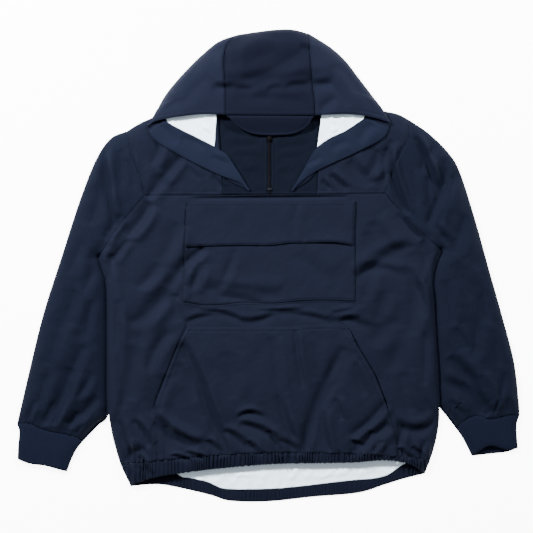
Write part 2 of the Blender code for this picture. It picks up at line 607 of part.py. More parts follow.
def make_sleeve(side, armhole, underarm, outer, inner, seam, body_side, toward_body):
    """A sleeve from its armhole to the cuff seam, in two solids that meet level with the armpit."""
    biceps = np.array((outer[BICEPS_POINT], inner[0]))
    armhole = moved_aside(armhole, -1.5 * GAP * toward_body)
    underarm = moved_aside(underarm, -1.5 * GAP * toward_body)
    upper = patch(armhole, biceps, np.vstack([armhole[:1], outer[1:BICEPS_POINT + 1]]), underarm)
    lower = patch(biceps, seam, outer[BICEPS_POINT:], inner)
    upper_rows = np.array(UNDERARM_SHARES)
    lower_rows = np.r_[0.05, 0.12, np.linspace(0.2, 0.92, 9), 1]
    edge_points, outer_points = along(inner, lower_rows), along(outer[BICEPS_POINT:], lower_rows)
    hidden = np.minimum(distance(body_side, edge_points[:, 0], edge_points[:, 1]), 34)
    hidden = np.where(edge_points[:, 1] > TUCK_END, hidden, 0)
    width = np.linalg.norm(edge_points - outer_points, axis=1)
    columns = np.array([
        np.r_[0, 1.5 / w, 6 / w, 15 / w, np.linspace(28 / w, 1 - (t + 28) / w, 6),
              1 - (t + 14) / w, 1 - (t + 4) / w, 1 - 2 / w, 1] for w, t in zip(width, hidden)])
    end = ramp(lower_rows, 0.92, 1)[:, None]
    lower_columns = columns * (1 - end) + end * CUFF_COLUMNS
    upper_columns = ARMHOLE_SHARES + upper_rows[:, None] * (columns[0] - ARMHOLE_SHARES)
    height = sleeve_height(toward_body, body_side, outer, inner, seam)
    plan = np.concatenate([upper(upper_columns, upper_rows[:, None]),
                           lower(lower_columns, lower_rows[:, None])])
    armpit = len(upper_rows) - 1
    grid = tube_grid(raised(plan, height), plan[:, UNDER_COLUMNS], SLEEVE_EDGE / 2, open_rows=armpit)
    head, arm = grid[:armpit + 1].copy(), grid[armpit:]
    head[-1, :, 1] += GAP
    flip = toward_body > 0
    slit = (armpit, len(ARMHOLE_SHARES) - 1)
    cloth("upper_sleeve_" + side, NAVY, head, closed=True, flip=flip, slit=slit)
    cloth("lower_sleeve_" + side, NAVY, arm, closed=True, flip=flip)


def make_cuff(side, seam, outer, inner, mouth, lip, toward_body):
    """A cuff whose upper layer may end before the lower one."""
    seam = moved_aside(seam, -2 * GAP * toward_body)

    def height(x, y):
        inward = np.minimum(distance(outer, x, y), distance(inner, x, y))
        return CUFF_EDGE + (CUFF_TOP - CUFF_EDGE) * swell(inward, 24)
    rows = np.array((0, 0.2, 0.45, 0.75, 1.0))[:, None]
    outer, inner = np.vstack([seam[:1], outer[1:]]), np.vstack([seam[-1:], inner[1:]])
    top, under = patch(seam, lip, outer, inner), patch(seam, mouth, outer, inner)
    flat = under(CUFF_COLUMNS[list(UNDER_COLUMNS)], rows)
    grid = tube_grid(raised(top(CUFF_COLUMNS, rows), height), flat, CUFF_EDGE / 2)
    cloth("cuff_" + side, KNIT, grid, closed=True, flip=toward_body > 0)


def make_sleeves():
    make_sleeve("left", spline(ARMHOLE_LEFT), underarm_left, outer_left, inner_left, cuff_seam_left,
                side_left, 1)
    make_sleeve("right", spline(ARMHOLE_RIGHT), underarm_right, outer_right, inner_right, cuff_seam_right,
                side_right, -1)
    mouth = spline(CUFF_MOUTH_LEFT)
    make_cuff("left", cuff_seam_left, spline(CUFF_OUTER_LEFT), spline(CUFF_INNER_LEFT), mouth, mouth, 1)
    make_cuff("right", cuff_seam_right, spline(CUFF_OUTER_RIGHT), spline(CUFF_INNER_RIGHT),
              spline(CUFF_MOUTH_RIGHT), spline(CUFF_LIP_RIGHT), -1)


def hood_panel(name, upper, lower, columns):
    """A hood panel: its upper layer from the front edge to the outline, and its lower layer back."""
    u = np.linspace(0, 1, columns)[None, :]
    v = from_edges(HOOD_DEPTH, (0,), (0, 0.8, 3, 8, 16, 28), 4)[:, None]
    w = np.r_[0.02, 0.05, np.linspace(0.12, 1, 9)][:, None]
    cloth(name, NAVY, np.concatenate([raised(upper(u, v), hood_height), raised(lower(u, w), hood_rest)]))


def make_hood():
    rim_left, rim_centre, rim_right = [
        spline(rim) for rim in (HOOD_RIM_LEFT, HOOD_RIM_CENTRE, HOOD_RIM_RIGHT)]
    foot_left, foot_centre, foot_right = [
        spline(foot) for foot in (HOOD_FOOT_LEFT, HOOD_FOOT_CENTRE, HOOD_FOOT_RIGHT)]
    seam_left, seam_right = spline(HOOD_SEAM_LEFT), spline(HOOD_SEAM_RIGHT)
    aside = np.array((1.2 * GAP, 0))
    back_left = np.array((seam_left[-1], foot_centre[0]))
    back_right = np.array((seam_right[-1], foot_centre[-1]))
    front = spline(HOOD_FRONT_LEFT)
    hood_panel("hood_side_left",
               patch(front, rim_left, np.array((front[0], rim_left[0])), seam_left - aside),
               patch(rim_left, foot_left, lapel_left, back_left - aside), 10)
    hood_panel("hood_centre_panel",
               patch(spline(HOOD_FRONT_CENTRE), rim_centre, seam_left + aside, seam_right - aside),
               patch(rim_centre, foot_centre, back_left + aside, back_right - aside), 9)
    front = spline(HOOD_FRONT_RIGHT)
    hood_panel("hood_side_right",
               patch(front, rim_right, seam_right + aside, np.array((front[-1], rim_right[-1]))),
               patch(rim_right, foot_right, back_right + aside, lapel_right), 10)


def layer_height(wall):
    """Top of a layer that lies inside the turned-out hood."""
    return lambda x, y: hood_rest(x, y) + WALL + DRAPE + wall


def make_facings():
    """The navy facings of the hood's front edges and the lining beside them."""
    u = np.linspace(0, 1, 5)[None, :]
    v = np.linspace(0, 1, 14)[:, None]
    for side, outer, inner, lining, mirror in (
            ("left", lapel_left, spline(FACING_LEFT), LINING_LEFT, 1),
            ("right", lapel_right, spline(FACING_RIGHT), LINING_RIGHT, -1)):
        start = along(outer, np.linspace(0.04, 1, 40))[::-1]
        up = inner[::-1]
        plan = patch(np.array((start[0], up[0])), np.array((start[-1], up[-1])), start, up)
        cloth("hood_facing_" + side, NAVY, raised(plan(u, v), layer_height(WALL)), flip=mirror < 0)
        low, high = np.array(lining, float)
        edge = moved_aside(inner, 2 * GAP * mirror)
        edge = edge[(edge[:, 1] < low[1] - 14) & (edge[:, 1] > 206)]
        plan = patch(edge, np.array((low, high)), np.array((edge[0], low)), np.array((edge[-1], high)))
        cloth("hood_lining_" + side, PALE_BLUE, raised(plan(np.linspace(0, 1, 9)[None, :],
              np.linspace(0, 1, 5)[:, None]), layer_height(LINING)), LINING, flip=mirror < 0)


def brim_height(x, y):
    """Top of the brim, from the hood's front edge down to its own edge."""
    hood_edge = hood_height(x, np.full(np.shape(y), 261.5))
    drop = ramp(-y, -262, -225)
    return hood_edge * (1 - drop) + BRIM_LOW * drop


def make_brim():
    """The half-round brim, stiff and slightly domed, from the hood's front edge."""
    edge = spline(BRIM_EDGE)
    u = np.linspace(0, 1, 15)[None, :]
    v = np.array((0, 0.05, 0.2, 0.45, 0.7, 1))[:, None]
    head = np.array((edge[0], edge[-1])) - (0, GAP)
    plan = patch(edge, head, np.array((edge[0], head[0])), np.array((edge[-1], head[-1])))
    cloth("hood_brim", NAVY, raised(plan(u, v), brim_height), wall=BRIM_WALL)


garment = bpy.data.collections.new("anorak_pullover")


def main():
    for old in list(bpy.data.objects):
        bpy.data.objects.remove(old)
    bpy.context.scene.collection.children.link(garment)
    make_front()
    make_yokes()
    make_neck()
    make_back()
    make_front_casing()
    make_sleeves()
    make_hood()
    make_facings()
    make_brim()


main()
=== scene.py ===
"""Anorak pullover, laid flat on its back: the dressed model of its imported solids.

Each piece is a fine sheet on the form of its solid, worked out from the same seam lines, swell and
creases, with the smaller folds, gathers, seams, stitching, ribs and zip added to it. Tables and
functions are in millimetres, and meshes are written in metres.
"""
from collections import namedtuple

import bmesh
import bpy
import numpy as np
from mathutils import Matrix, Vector


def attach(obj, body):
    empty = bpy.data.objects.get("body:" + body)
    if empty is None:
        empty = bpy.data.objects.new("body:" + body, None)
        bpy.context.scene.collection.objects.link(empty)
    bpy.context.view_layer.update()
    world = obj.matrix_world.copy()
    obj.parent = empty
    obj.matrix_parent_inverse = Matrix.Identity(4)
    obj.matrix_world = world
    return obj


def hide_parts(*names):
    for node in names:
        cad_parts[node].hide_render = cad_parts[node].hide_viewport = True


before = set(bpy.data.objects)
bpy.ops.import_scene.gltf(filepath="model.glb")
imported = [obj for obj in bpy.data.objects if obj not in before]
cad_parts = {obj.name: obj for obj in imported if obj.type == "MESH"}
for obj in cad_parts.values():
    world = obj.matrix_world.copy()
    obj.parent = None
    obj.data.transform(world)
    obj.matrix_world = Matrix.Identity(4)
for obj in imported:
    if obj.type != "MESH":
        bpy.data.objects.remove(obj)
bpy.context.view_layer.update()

bl_info = {
    "name": "Anorak Pullover",
    "version": (1, 0, 0),
    "blender": (4, 5, 0),
    "location": "View3D > Sidebar > Anorak",
    "description": "Builds an anorak pullover laid flat, piece by piece",
    "category": "Object",
}

MM = 0.001
WALL = 1.2              # shell cloth with its backing
LINING = 1.0            # lining cloth
GAP = 0.3               # air between neighbouring pieces
DRAPE = 0.6             # air under a layer that lies loosely on another

CROWN = 12.0            # how far the front rises over its own edge
SIDE_ROLL = 32.0        # width of the rounding along the outline
SLEEVE_TOP = 15.0       # height of a sleeve
SLEEVE_EDGE = 3.6       # height of a sleeve's folded edge
CUFF_TOP = 9.5          # height of a cuff
CUFF_EDGE = 3.4
TUCK_END = -262         # y at which the sleeves come out from under the body
BICEPS_POINT = 40       # point of a sleeve's outer line level with its underarm
TUCK_LIFT = SLEEVE_EDGE + DRAPE   # the body's sides are lifted by the sleeves under them
FRONT_EDGE = 2.3        # height of the front's lower edge, just over the back
HEM_LIFT = 1.6          # front hem corners clear the gathered back casing
HOOD_REST = 15.4        # height at which the hood lies on the yokes
HOOD_TOP = 26.0         # height of the spread hood
HOOD_EDGE = 3.4         # thickness of the hood at its folded outline
HOOD_ROLL = 46.0        # width of the rounding along the hood's outline
HOOD_DEPTH = 120.0      # typical length of the hood's upper layer
BRIM_WALL = 2.2         # two layers with a stiffener
BRIM_LOW = 18.0         # height of the brim at its edge
CASING_WIDTH = 27       # of the hem casings, as they lie
GATHER_DEPTH = 0.9      # room for the gathers of the back casing under the front one
FOLD_SCALE = 2.6        # the folds stand higher than listed, and by these factors again
BODY_LARGE, BODY_FINE = 1.2, 1.9
SLEEVE_LARGE, SLEEVE_FINE = 1.4, 1.1
HOOD_FINE = 1.5
DEEPEST_FOLD = 8.0      # cloth below holds them up
POCKET_LIFT = 1.7       # from a panel to the one sewn on it
SEAM_TURN = 0.8         # how far a sleeve's edge turns in under the body at its seam
DYE_DEPTH = 0.25        # share of a chosen colour that this deep navy dye gives back
RIB_RELIEF = 0.3        # of the cuffs' knit
PAPER_GLOW = 8.0        # of the white paper below, as strong light gives it
CASING_COLUMNS, CASING_ROWS = 760, 13   # grid of a hem casing, fine enough for its gathers
SIDE_STEPS = (0, 2, 7, 15, 27)          # grid columns beside a side seam, from the seam
PITCH, BACK_PITCH = 2.8, 7.0            # of the grids of the sewn-on pieces and of the plain back
CAMERA_X, CAMERA_Y = -3.2, -1.6     # the camera stands above this point
CAMERA_PLANE = 8        # height at which the camera's view is FRAME_WIDTH wide
FRAME_WIDTH = 932.75
SENSOR_WIDTH = 36       # of the camera

# Rows of sewing, by their distance from the edge or seam that they hold.
EDGE_ROW, SECOND_ROW = 1.6, 6.8
SLANT_ROW = 7.4         # along the open sides of the kangaroo pocket
SEAM_ROW = 2.4          # beside the armholes and the hood's seams
ZIP_ROW = 5.4
BAND_ROW = 8            # along the hood's front edge
BRIM_ROW = 5.2
SEWING_STEP = 4         # from point to point of a row of sewing
SLANT_FOOT, SLANT_HEAD = -262, -112     # y between which the kangaroo pocket is open

# Seam lines, each a few (x, y) points that a smooth line runs through.
SHOULDER_LEFT = ((-248, 236), (-225, 250), (-202, 260), (-172, 273), (-137, 288), (-95, 302))
SHOULDER_RIGHT = ((250, 254), (227, 266), (200, 272), (169, 283), (134, 293), (94, 304))
BACK_NECK = ((-95, 302), (-50, 293), (-1, 291), (48, 293), (94, 304))
ARMHOLE_LEFT = ((-248, 236), (-244, 216), (-236, 192), (-227, 163), (-216, 122))
UNDERARM_LEFT = ((-216, 122), (-244, 89), (-264, 64), (-284, 34), (-296, 15))
ARMHOLE_RIGHT = ((250, 254), (243, 223), (230, 194), (218, 164), (205, 125))
UNDERARM_RIGHT = ((205, 125), (222, 104), (244, 82), (274, 51), (302, 26))
SIDE_LEFT = ((-296, 15), (-289, -8), (-283, -34), (-282, -113), (-282, -190), (-281, -239),
             (-275, -293), (-259, -349), (-241, -387))
SIDE_RIGHT = ((302, 26), (293, 6), (287, -25), (289, -60), (292, -107), (297, -184),
              (299, -239), (299, -279), (290, -323), (274, -365))
NECK_LEFT = ((-81, 124), (-82, 185), (-85, 223), (-88, 262), (-91, 283), (-95, 302))
NECK_RIGHT = ((85, 125), (87, 176), (90, 223), (96, 262), (96, 283), (94, 304))

OUTER_LEFT = ((-248, 236), (-277, 223), (-303, 185), (-332, 111), (-362, 18), (-396, -89),
              (-423, -200), (-441, -278))
INNER_LEFT = ((-296, 15), (-281, -11), (-265, -60), (-261, -130), (-265, -200), (-281, -263),
              (-298, -280), (-326, -309))
OUTER_RIGHT = ((250, 254), (283, 231), (317, 197), (337, 162), (364, 77), (388, -9), (412, -94),
               (431, -168), (439, -234), (441, -262))
INNER_RIGHT = ((302, 26), (290, -1), (276, -39), (271, -99), (272, -165), (281, -218),
               (299, -247), (311, -262), (330, -287))
CUFF_SEAM_LEFT = ((-441, -278), (-417, -277), (-389, -288), (-364, -293), (-342, -299), (-326, -309))
CUFF_OUTER_LEFT = ((-441, -278), (-437, -291), (-439, -316), (-440, -339))
CUFF_INNER_LEFT = ((-326, -309), (-336, -322), (-345, -339), (-353, -361))
CUFF_MOUTH_LEFT = ((-440, -339), (-417, -347), (-389, -351), (-353, -361))
CUFF_SEAM_RIGHT = ((441, -262), (419, -262), (388, -268), (363, -263), (344, -270), (330, -287))
CUFF_OUTER_RIGHT = ((441, -262), (436, -277), (436, -295), (438, -320))
CUFF_INNER_RIGHT = ((330, -287), (336, -295), (344, -308), (357, -334))
CUFF_MOUTH_RIGHT = ((438, -320), (419, -327), (393, -330), (357, -334))
CUFF_LIP_RIGHT = ((438, -320), (417, -322), (390, -315), (372, -323), (357, -334))

HOOD_RIM_LEFT = ((-212, 242), (-200, 260), (-177, 302), (-134, 351), (-89, 391), (-53, 405))
HOOD_RIM_CENTRE = ((-53, 405), (-13, 411), (16, 414), (42, 414), (70, 407))
HOOD_RIM_RIGHT = ((70, 407), (107, 384), (134, 360), (156, 332), (179, 302), (200, 272), (214, 247))
HOOD_FRONT_LEFT = ((-206, 246), (-198, 251), (-180, 255), (-144, 260), (-111, 263), (-75, 262))
HOOD_FRONT_CENTRE = ((-75, 262), (3, 261), (81, 261))
HOOD_FRONT_RIGHT = ((81, 261), (134, 263), (169, 260), (192, 255), (208, 250))
HOOD_SEAM_LEFT = ((-75, 262), (-75, 299), (-77, 358), (-72, 385), (-53, 405))
HOOD_SEAM_RIGHT = ((81, 261), (80, 286), (76, 322), (73, 358), (70, 407))
LAPEL_LEFT = ((-212, 242), (-196, 218), (-151, 190), (-89, 159), (-49, 144), (-37, 132))
LAPEL_RIGHT = ((214, 247), (199, 221), (150, 195), (85, 165), (53, 142), (44, 131))
FACING_LEFT = ((-180, 253), (-160, 240), (-102, 211), (-74, 194), (-57, 171), (-32, 131))
FACING_RIGHT = ((170, 258), (134, 234), (107, 221), (81, 201), (62, 169), (39, 131))
HOOD_FOOT_LEFT = ((-37, 132), (-70, 150), (-83, 185), (-88, 240), (-84, 272), (-76, 290), (-66, 300))
HOOD_FOOT_CENTRE = ((-66, 300), (-1, 293), (64, 301))
HOOD_FOOT_RIGHT = ((64, 301), (76, 290), (85, 272), (92, 240), (88, 185), (74, 152), (44, 131))
LINING_LEFT = ((-184, 266), (-89, 279))        # upper corners of the hood's shown lining
LINING_RIGHT = ((172, 272), (95, 279))
BRIM_EDGE = ((-72, 261), (-59, 247), (-46, 237), (-30, 230), (-7, 227), (19, 227), (42, 229),
             (58, 235), (70, 244), (79, 260))
FRONT_HEM = ((-241, -387), (-220, -376), (-164, -364), (-62, -352), (24, -346), (137, -344),
             (207, -340), (250, -348), (274, -365))
BACK_CASING_TOP = ((-255, -359), (-207, -373), (-156, -370), (-109, -378), (-74, -391), (0, -391),
                   (51, -387), (137, -377), (200, -370), (235, -351), (284, -340))
BACK_HEM = ((-241, -387), (-195, -384), (-156, -390), (-101, -403), (-67, -413), (0, -414),
            (78, -406), (157, -399), (203, -385), (235, -375), (274, -365))
FLAP_FOOT_LINE = ((-145, 33), (-98, 35), (-47, 36), (6, 36), (38, 40), (62, 40), (85, 41),
                  (118, 41), (147, 36))
POCKET_FOOT_LINE = ((-151, -67.6), (-116, -74), (-83, -73), (-47, -69), (6, -70), (51, -66),
                    (96, -64), (150, -66))
KANGAROO_HEAD_LINE = ((-142, -107), (-60, -107.5), (46, -107), (69, -104), (131, -103), (133, -107))

# Rows of the front. Beside the armholes they end at these shares of the underarm's length.
UNDERARM_SHARES = (0, 0.11, 0.28, 0.46, 0.64, 0.82, 1)
# Lower down a row is set by y at its left end; tilt raises its right end and arch its middle.
# The pockets' sides are at pocket_left and pocket_right, and steps is the number of grid rows
# from the station above.
Station = namedtuple("Station", "y tilt arch pocket_left pocket_right steps")
YOKE_SEAM = Station(122, 3, 0, -142, 152, 0)
FRONT_STATIONS = (
    Station(15, 11, 0, -146, 151, 0),
    Station(-4, 6, 0, -147, 151, 1),
    Station(-34, 0, 0, -149, 151, 2),
    Station(-68, 0, 0, -151, 151, 2),
    Station(-107, 0, 0, -143, 133, 2),
    Station(-142, 0, 0, -159, 156, 1),
    Station(-190, 0, 0, -178, 185, 2),
    Station(-239, 0, 0, -197, 204, 2),
    Station(-279, 0, 2, -203, 217, 2),
    Station(-317, 4, 8, -203, 224, 2),
    Station(-349, 10, 18, -202, 229, 2),
)
FLAP_TOP, POCKET_FOOT, KANGAROO_TOP, CASING_ROW = 1, 11, 13, 24    # grid rows
POCKET_FIRST, POCKET_LAST = 7, 21       # grid columns of the pockets' sides
LAST_COLUMN = 27

# Uneven waves of the cloth between its creases, each a height, a size and a seed.
BODY_WAVES = ((0.9, 95, 3), (0.45, 34, 4), (0.2, 13, 17))
SLEEVE_WAVES = ((0.8, 80, 5), (0.4, 30, 6), (0.2, 12, 18))
HOOD_WAVES = ((0.8, 85, 7), (0.4, 30, 9), (0.12, 12, 19))
HEM_LINING_WAVES = ((0.5, 26, 21), (0.35, 11, 22))
HOOD_LINING_WAVES = ((0.7, 24, 15), (0.4, 10, 16))
FACING_WAVES = ((0.35, 34, 14),)

# Creases of the front and sleeves. A crease sinks by depth along its line, with a ridge of
# height lift beside it (on its left going from start to end); bow bends the line to that side.
Crease = namedtuple("Crease", "x0 y0 x1 y1 bow width depth lift")


def creases(*rows):
    """Rows of numbers as creases."""
    return [Crease(*row) for row in rows]


CREASES = creases(
    (-113, 33, -174, -41, -6, 9, 3.2, 1.6),
    (-174, -41, -243, -103, 8, 10, 3.0, 1.2),
    (-166, -50, -159, -99, 0, 10, 1.8, 0.8),
    (-146, -101, -90, -87, 3, 5, 1.1, 0.9),
    (-92, -86, -45, -99, 4, 5, 1.3, 0.9),
    (-50, -99, 12, -86, -5, 6, 1.4, 1.1),
    (8, -86, 62, -88, 3, 5, 1.0, 0.8),
    (56, -87, 102, -98, 2, 5, 1.2, 0.9),
    (98, -98, 172, -86, -4, 7, 1.0, 0.8),
    (153, -25, 252, 36, 6, 10, 2.6, 1.6),
    (160, -14, 232, -20, 12, 8, 1.4, 1.5),
    (238, -2, 277, -90, 5, 7, 2.0, 1.6),
    (216, -90, 180, -138, 0, 15, 2.2, 1.0),
    (-150, -136, -72, -332, 3, 8, 4.0, 1.2),
    (-136, -160, -72, -331, 2, 5, 1.6, 0.6),
    (5, -126, 18, -232, 3, 8, 1.0, 0.7),
    (18, -226, 56, -326, -4, 7, 1.9, 1.2),
    (46, -112, 62, -214, -2, 5, 1.5, 0.9),
    (-52, -277, 20, -306, 5, 6, 2.0, 1.5),
    (16, -303, 54, -331, 3, 6, 1.8, 1.2),
    (132, -142, 58, -330, -7, 9, 3.4, -0.9),
    (128, -160, 58, -330, -7, 5, 1.2, 0.0),
    (205, -236, 140, -298, 6, 7, 2.0, 1.6),
    (-196, -262, -119, -314, -6, 7, 1.9, 1.5),
    (211, -275, 140, -333, 0, 9, 2.6, 1.6),
    (223, -277, 291, -275, -14, 9, 2.8, 1.4),
    (-201, -276, -123, -318, -6, 10, 2.8, 1.6),
    (-250, -342, -214, -320, 4, 9, 1.8, 0.8),
    (-263, -99, -254, -249, 0, 12, 1.4, 0.6),
    (-152, 192, -212, 118, 0, 8, 3.2, 1.4),
    (-288, 204, -268, 68, -4, 7, 3.2, 1.4),
    (-345, -180, -389, -278, 6, 10, 2.8, 1.4),
    (-298, -229, -352, -278, 4, 9, 2.6, 1.2),
    (334, 168, 285, 62, -10, 11, 2.8, 1.6),
    (206, 206, 242, 88, -4, 6, 3.6, 1.8),
    (257, 226, 294, 122, 3, 5, 3.2, 1.8),
    (313, 170, 278, 72, 4, 5, 2.8, 1.5),
    (316, -160, 384, -263, 6, 11, 3.0, 1.6),
    (301, -200, 377, -251, 6, 9, 2.4, 1.2),
    (268, 45, 285, -34, 0, 8, 2.2, 0.8),
    (-274, 21, -279, -28, 0, 8, 1.8, 0.6),
)
# The hood is spread, with few folds.
HOOD_CREASES = creases(
    (-100, 306, 115, 316, 8, 12, 2.2, 1.2),
    (68, 381, -46, 322, 8, 13, 2.2, 1.2),
    (117, 293, 88, 270, 0, 9, 1.8, 0.8),
    (-111, 368, -33, 402, 0, 12, 1.6, 1.0),
)

# Small folds of the front and sleeves.
FINE_CREASES = creases(
    # body, left side
    (-137, 117, 143, 120, 0, 3, 0.8, 0.4),
    (-207, 110, -247, 52, 4, 9, 1.6, 1.4),
    (-246, 45, -272, 6, 0, 5, 1.2, 0.8),
    (-162, 76, -190, 6, 5, 12, 1, 0.8),
    (-190, 6, -230, -39, 4, 10, 1, 1.2),
    (-207, -60, -226, -139, 0, 12, 1.2, 0.8),
    (-235, -139, -240, -235, 0, 11, 1, 0.6),
    (-263, -60, -267, -148, 0, 8, 0.9, 0.5),
    (-172, -113, -211, -186, -6, 10, 1.2, 0.8),
    (-179, -191, -207, -261, 0, 9, 0.8, 0.6),
    (-146, -8, -158, -60, 0, 7, 0.9, 0.5),
    (-120, 6, -137, -43, 4, 9, 1, 0.8),
    # chest pocket
    (-59, 28, -92, -48, 4, 7, 0.5, 0.3),
    (-120, -38, 28, -50, -6, 11, 0.8, 0.5),
    (40, 20, 100, -30, 6, 14, 0.4, 0.4),
    (-140, 4, -112, 30, 0, 5, 0.6, 0.4),
    (-93, -53, -11, -64, 0, 6, 0.8, 0.5),
    # between the pockets
    (-120, -79, -70, -81, 0, 3, 0.6, 0.5),
    (-20, -80, 60, -77, 0, 3, 0.5, 0.5),
    (110, -84, 150, -78, 0, 4, 0.6, 0.5),
    (125, -95, 181, -113, 4, 7, 1.2, 0.8),
    # body, right side
    (181, 76, 234, 6, -5, 12, 1, 1),
    (171, 59, 195, 6, 0, 8, 0.8, 0.6),
    (227, 90, 265, 45, 0, 6, 1.2, 1),
    (265, -29, 251, -121, 0, 10, 1, 0.7),
    (274, -113, 272, -209, 0, 9, 0.9, 0.5),
    (230, -113, 215, -186, 0, 12, 1.2, 0.8),
    (181, -4, 171, -60, 0, 8, 0.8, 0.7),
    (202, -46, 188, -99, 4, 9, 1, 0.8),
    (234, -186, 251, -256, -4, 9, 0.9, 0.6),
    (230, -139, 244, -221, 0, 8, 0.6, 0.4),
    # kangaroo pocket
    (-160, -170, -128, -236, 4, 8, 0.7, 0.6),
    (-70, -150, -62, -232, 0, 12, 0.4, 0.4),
    (80, -135, 88, -200, 0, 9, 0.5, 0.4),
    (150, -170, 168, -228, 0, 7, 0.7, 0.5),
    (112, -205, 84, -262, 0, 5, 0.8, 0.6),
    (-118, -218, -92, -292, 3, 5, 0.8, 0.6),
    (-56, -268, -8, -266, 9, 5, 0.9, 0.8),
    (-78, -288, -32, -323, 4, 6, 1.4, 1),
    (-36, -305, -11, -331, 0, 4, 1.2, 0.8),
    (-109, -305, -81, -333, 3, 5, 1.4, 0.9),
    (-146, -326, -111, -337, 0, 4, 1.2, 0.7),
    (-179, -279, -162, -326, -3, 6, 1.4, 0.9),
    (-169, -331, -137, -340, 0, 4, 1, 0.6),
    (-1, -288, 24, -331, 3, 5, 1.3, 0.9),
    (76, -270, 66, -326, 0, 5, 1.2, 0.8),
    (94, -253, 108, -326, -4, 6, 1.4, 1),
    (118, -232, 129, -270, 0, 5, 1, 0.6),
    (146, -305, 164, -319, 0, 4, 1.4, 0.8),
    (181, -288, 160, -319, 0, 5, 1.5, 1),
    (197, -305, 181, -326, 0, 4, 1.3, 0.8),
    (227, -319, 248, -337, 0, 4, 1, 0.6),
    # left bottom of the body
    (-246, -305, -228, -358, 0, 5, 1.2, 0.8),
    (-225, -331, -207, -365, 0, 4, 1, 0.7),
    (-237, -270, -207, -317, 4, 6, 1.2, 0.8),
    (-260, -270, -246, -326, 0, 6, 1, 0.6),
    # right bottom of the body
    (237, -279, 227, -316, 0, 5, 1.2, 0.7),
    (274, -305, 262, -344, 0, 5, 1.1, 0.8),
    (251, -316, 272, -337, 0, 4, 1, 0.6),
    # yokes
    (-190, 220, -204, 176, 3, 8, 1, 0.8),
    (-144, 174, -120, 150, 0, 5, 0.5, 0.4),
    (-97, 157, -81, 134, 0, 5, 0.8, 0.5),
    (-204, 157, -172, 132, 0, 8, 0.6, 0.4),
    (108, 159, 139, 132, 0, 5, 1.4, 1),
    (94, 150, 108, 132, 0, 4, 1, 0.7),
    (143, 185, 181, 141, -4, 9, 1.2, 0.9),
    (192, 202, 171, 153, 4, 8, 1.2, 1),
    (216, 220, 195, 167, 0, 7, 1, 0.8),
    (202, 194, 204, 141, 0, 5, 0.9, 0.6),
    # left sleeve
    (-302, 202, -330, 141, 0, 10, 1, 0.9),
    (-260, 202, -253, 141, 0, 7, 1, 0.7),
    (-246, 185, -232, 132, 0, 6, 0.8, 0.6),
    (-295, 141, -312, 71, 4, 13, 1.4, 1.2),
    (-256, 89, -288, 45, 0, 7, 1.4, 0.9),
    (-281, 54, -316, 6, 5, 8, 1, 0.9),
    (-298, 6, -323, -46, 0, 9, 1.2, 0.8),
    (-323, 45, -351, -16, 0, 12, 1, 1),
    (-337, -43, -361, -113, 0, 12, 1, 1),
    (-309, -60, -319, -130, 0, 8, 1.2, 0.6),
    (-365, -95, -386, -174, 4, 12, 1, 1),
    (-323, -139, -347, -197, 0, 9, 1.4, 0.9),
    (-309, -186, -337, -232, 4, 7, 1.4, 1),
    (-389, -191, -403, -253, 0, 9, 1.2, 0.8),
    (-361, -226, -375, -279, 3, 5, 1.4, 1),
    (-375, -239, -396, -281, 0, 5, 1.2, 0.9),
    (-407, -235, -421, -270, 0, 5, 1, 0.7),
    (-333, -256, -347, -284, 0, 4, 1.4, 0.8),
    (-323, -277, -337, -295, 0, 3, 1, 0.7),
    (-298, -253, -316, -281, 0, 5, 1, 0.7),
    # right sleeve
    (293, 216, 262, 159, 0, 9, 1.4, 1.1),
    (311, 185, 293, 132, 3, 7, 1.2, 0.9),
    (279, 157, 283, 106, 0, 5, 1.4, 1),
    (251, 167, 262, 106, 0, 5, 1, 0.7),
    (321, 132, 311, 62, 0, 10, 1, 0.9),
    (293, 69, 314, 36, 0, 6, 1.2, 0.9),
    (339, 89, 321, 19, 4, 12, 1.2, 1),
    (328, 6, 353, -60, 0, 12, 1, 0.9),
    (311, -25, 321, -104, 0, 9, 1.2, 0.7),
    (370, -25, 384, -99, 0, 10, 0.9, 0.8),
    (363, -95, 353, -165, 5, 12, 1.2, 0.9),
    (327, -109, 349, -148, 0, 7, 1.3, 0.8),
    (391, -113, 405, -174, 0, 9, 0.9, 0.6),
    (414, -186, 405, -232, 0, 7, 1.2, 0.8),
    (370, -191, 391, -239, 3, 6, 1.4, 0.9),
    (339, -204, 360, -235, 0, 5, 1.2, 0.8),
    (318, -235, 339, -261, 0, 5, 1.2, 0.8),
    (363, -232, 374, -261, 0, 4, 1.3, 0.9),
    (402, -235, 395, -260, 0, 3, 1.2, 0.9),
    (419, -228, 423, -256, 0, 4, 1, 0.7),
)
HOOD_FINE_CREASES = creases(
    (-72, 343, -76, 371, 0, 5, 0.8, 0.5),
    (-95, 311, -59, 308, 0, 5, 1.0, 0.8),
    (-60, 308, -20, 309, -2, 5, 1.2, 1.0),
    (-4, 303, 26, 308, 3, 5, 1.2, 1.0),
    (26, 308, 72, 313, 2, 5, 1.2, 1.0),
    (76, 313, 110, 316, 0, 6, 1.0, 0.8),
    (57, 384, 72, 372, 0, 5, 1.6, 0.8),
    (-40, 345, 20, 372, 6, 16, 0.9, 0.9),
    (-60, 290, 60, 284, 4, 9, 0.6, 0.5),
    (-170, 300, -120, 352, -5, 12, 1.0, 0.9),
    (-150, 275, -100, 330, 6, 14, 0.8, 0.8),
    (-186, 268, -150, 292, 0, 9, 0.8, 0.6),
    (118, 352, 160, 290, 6, 14, 0.9, 0.9),
    (100, 330, 140, 276, 0, 10, 0.8, 0.6),
    (165, 300, 188, 262, 0, 8, 0.8, 0.6),
    (-20, 400, 50, 398, 0, 8, 0.6, 0.6),
)
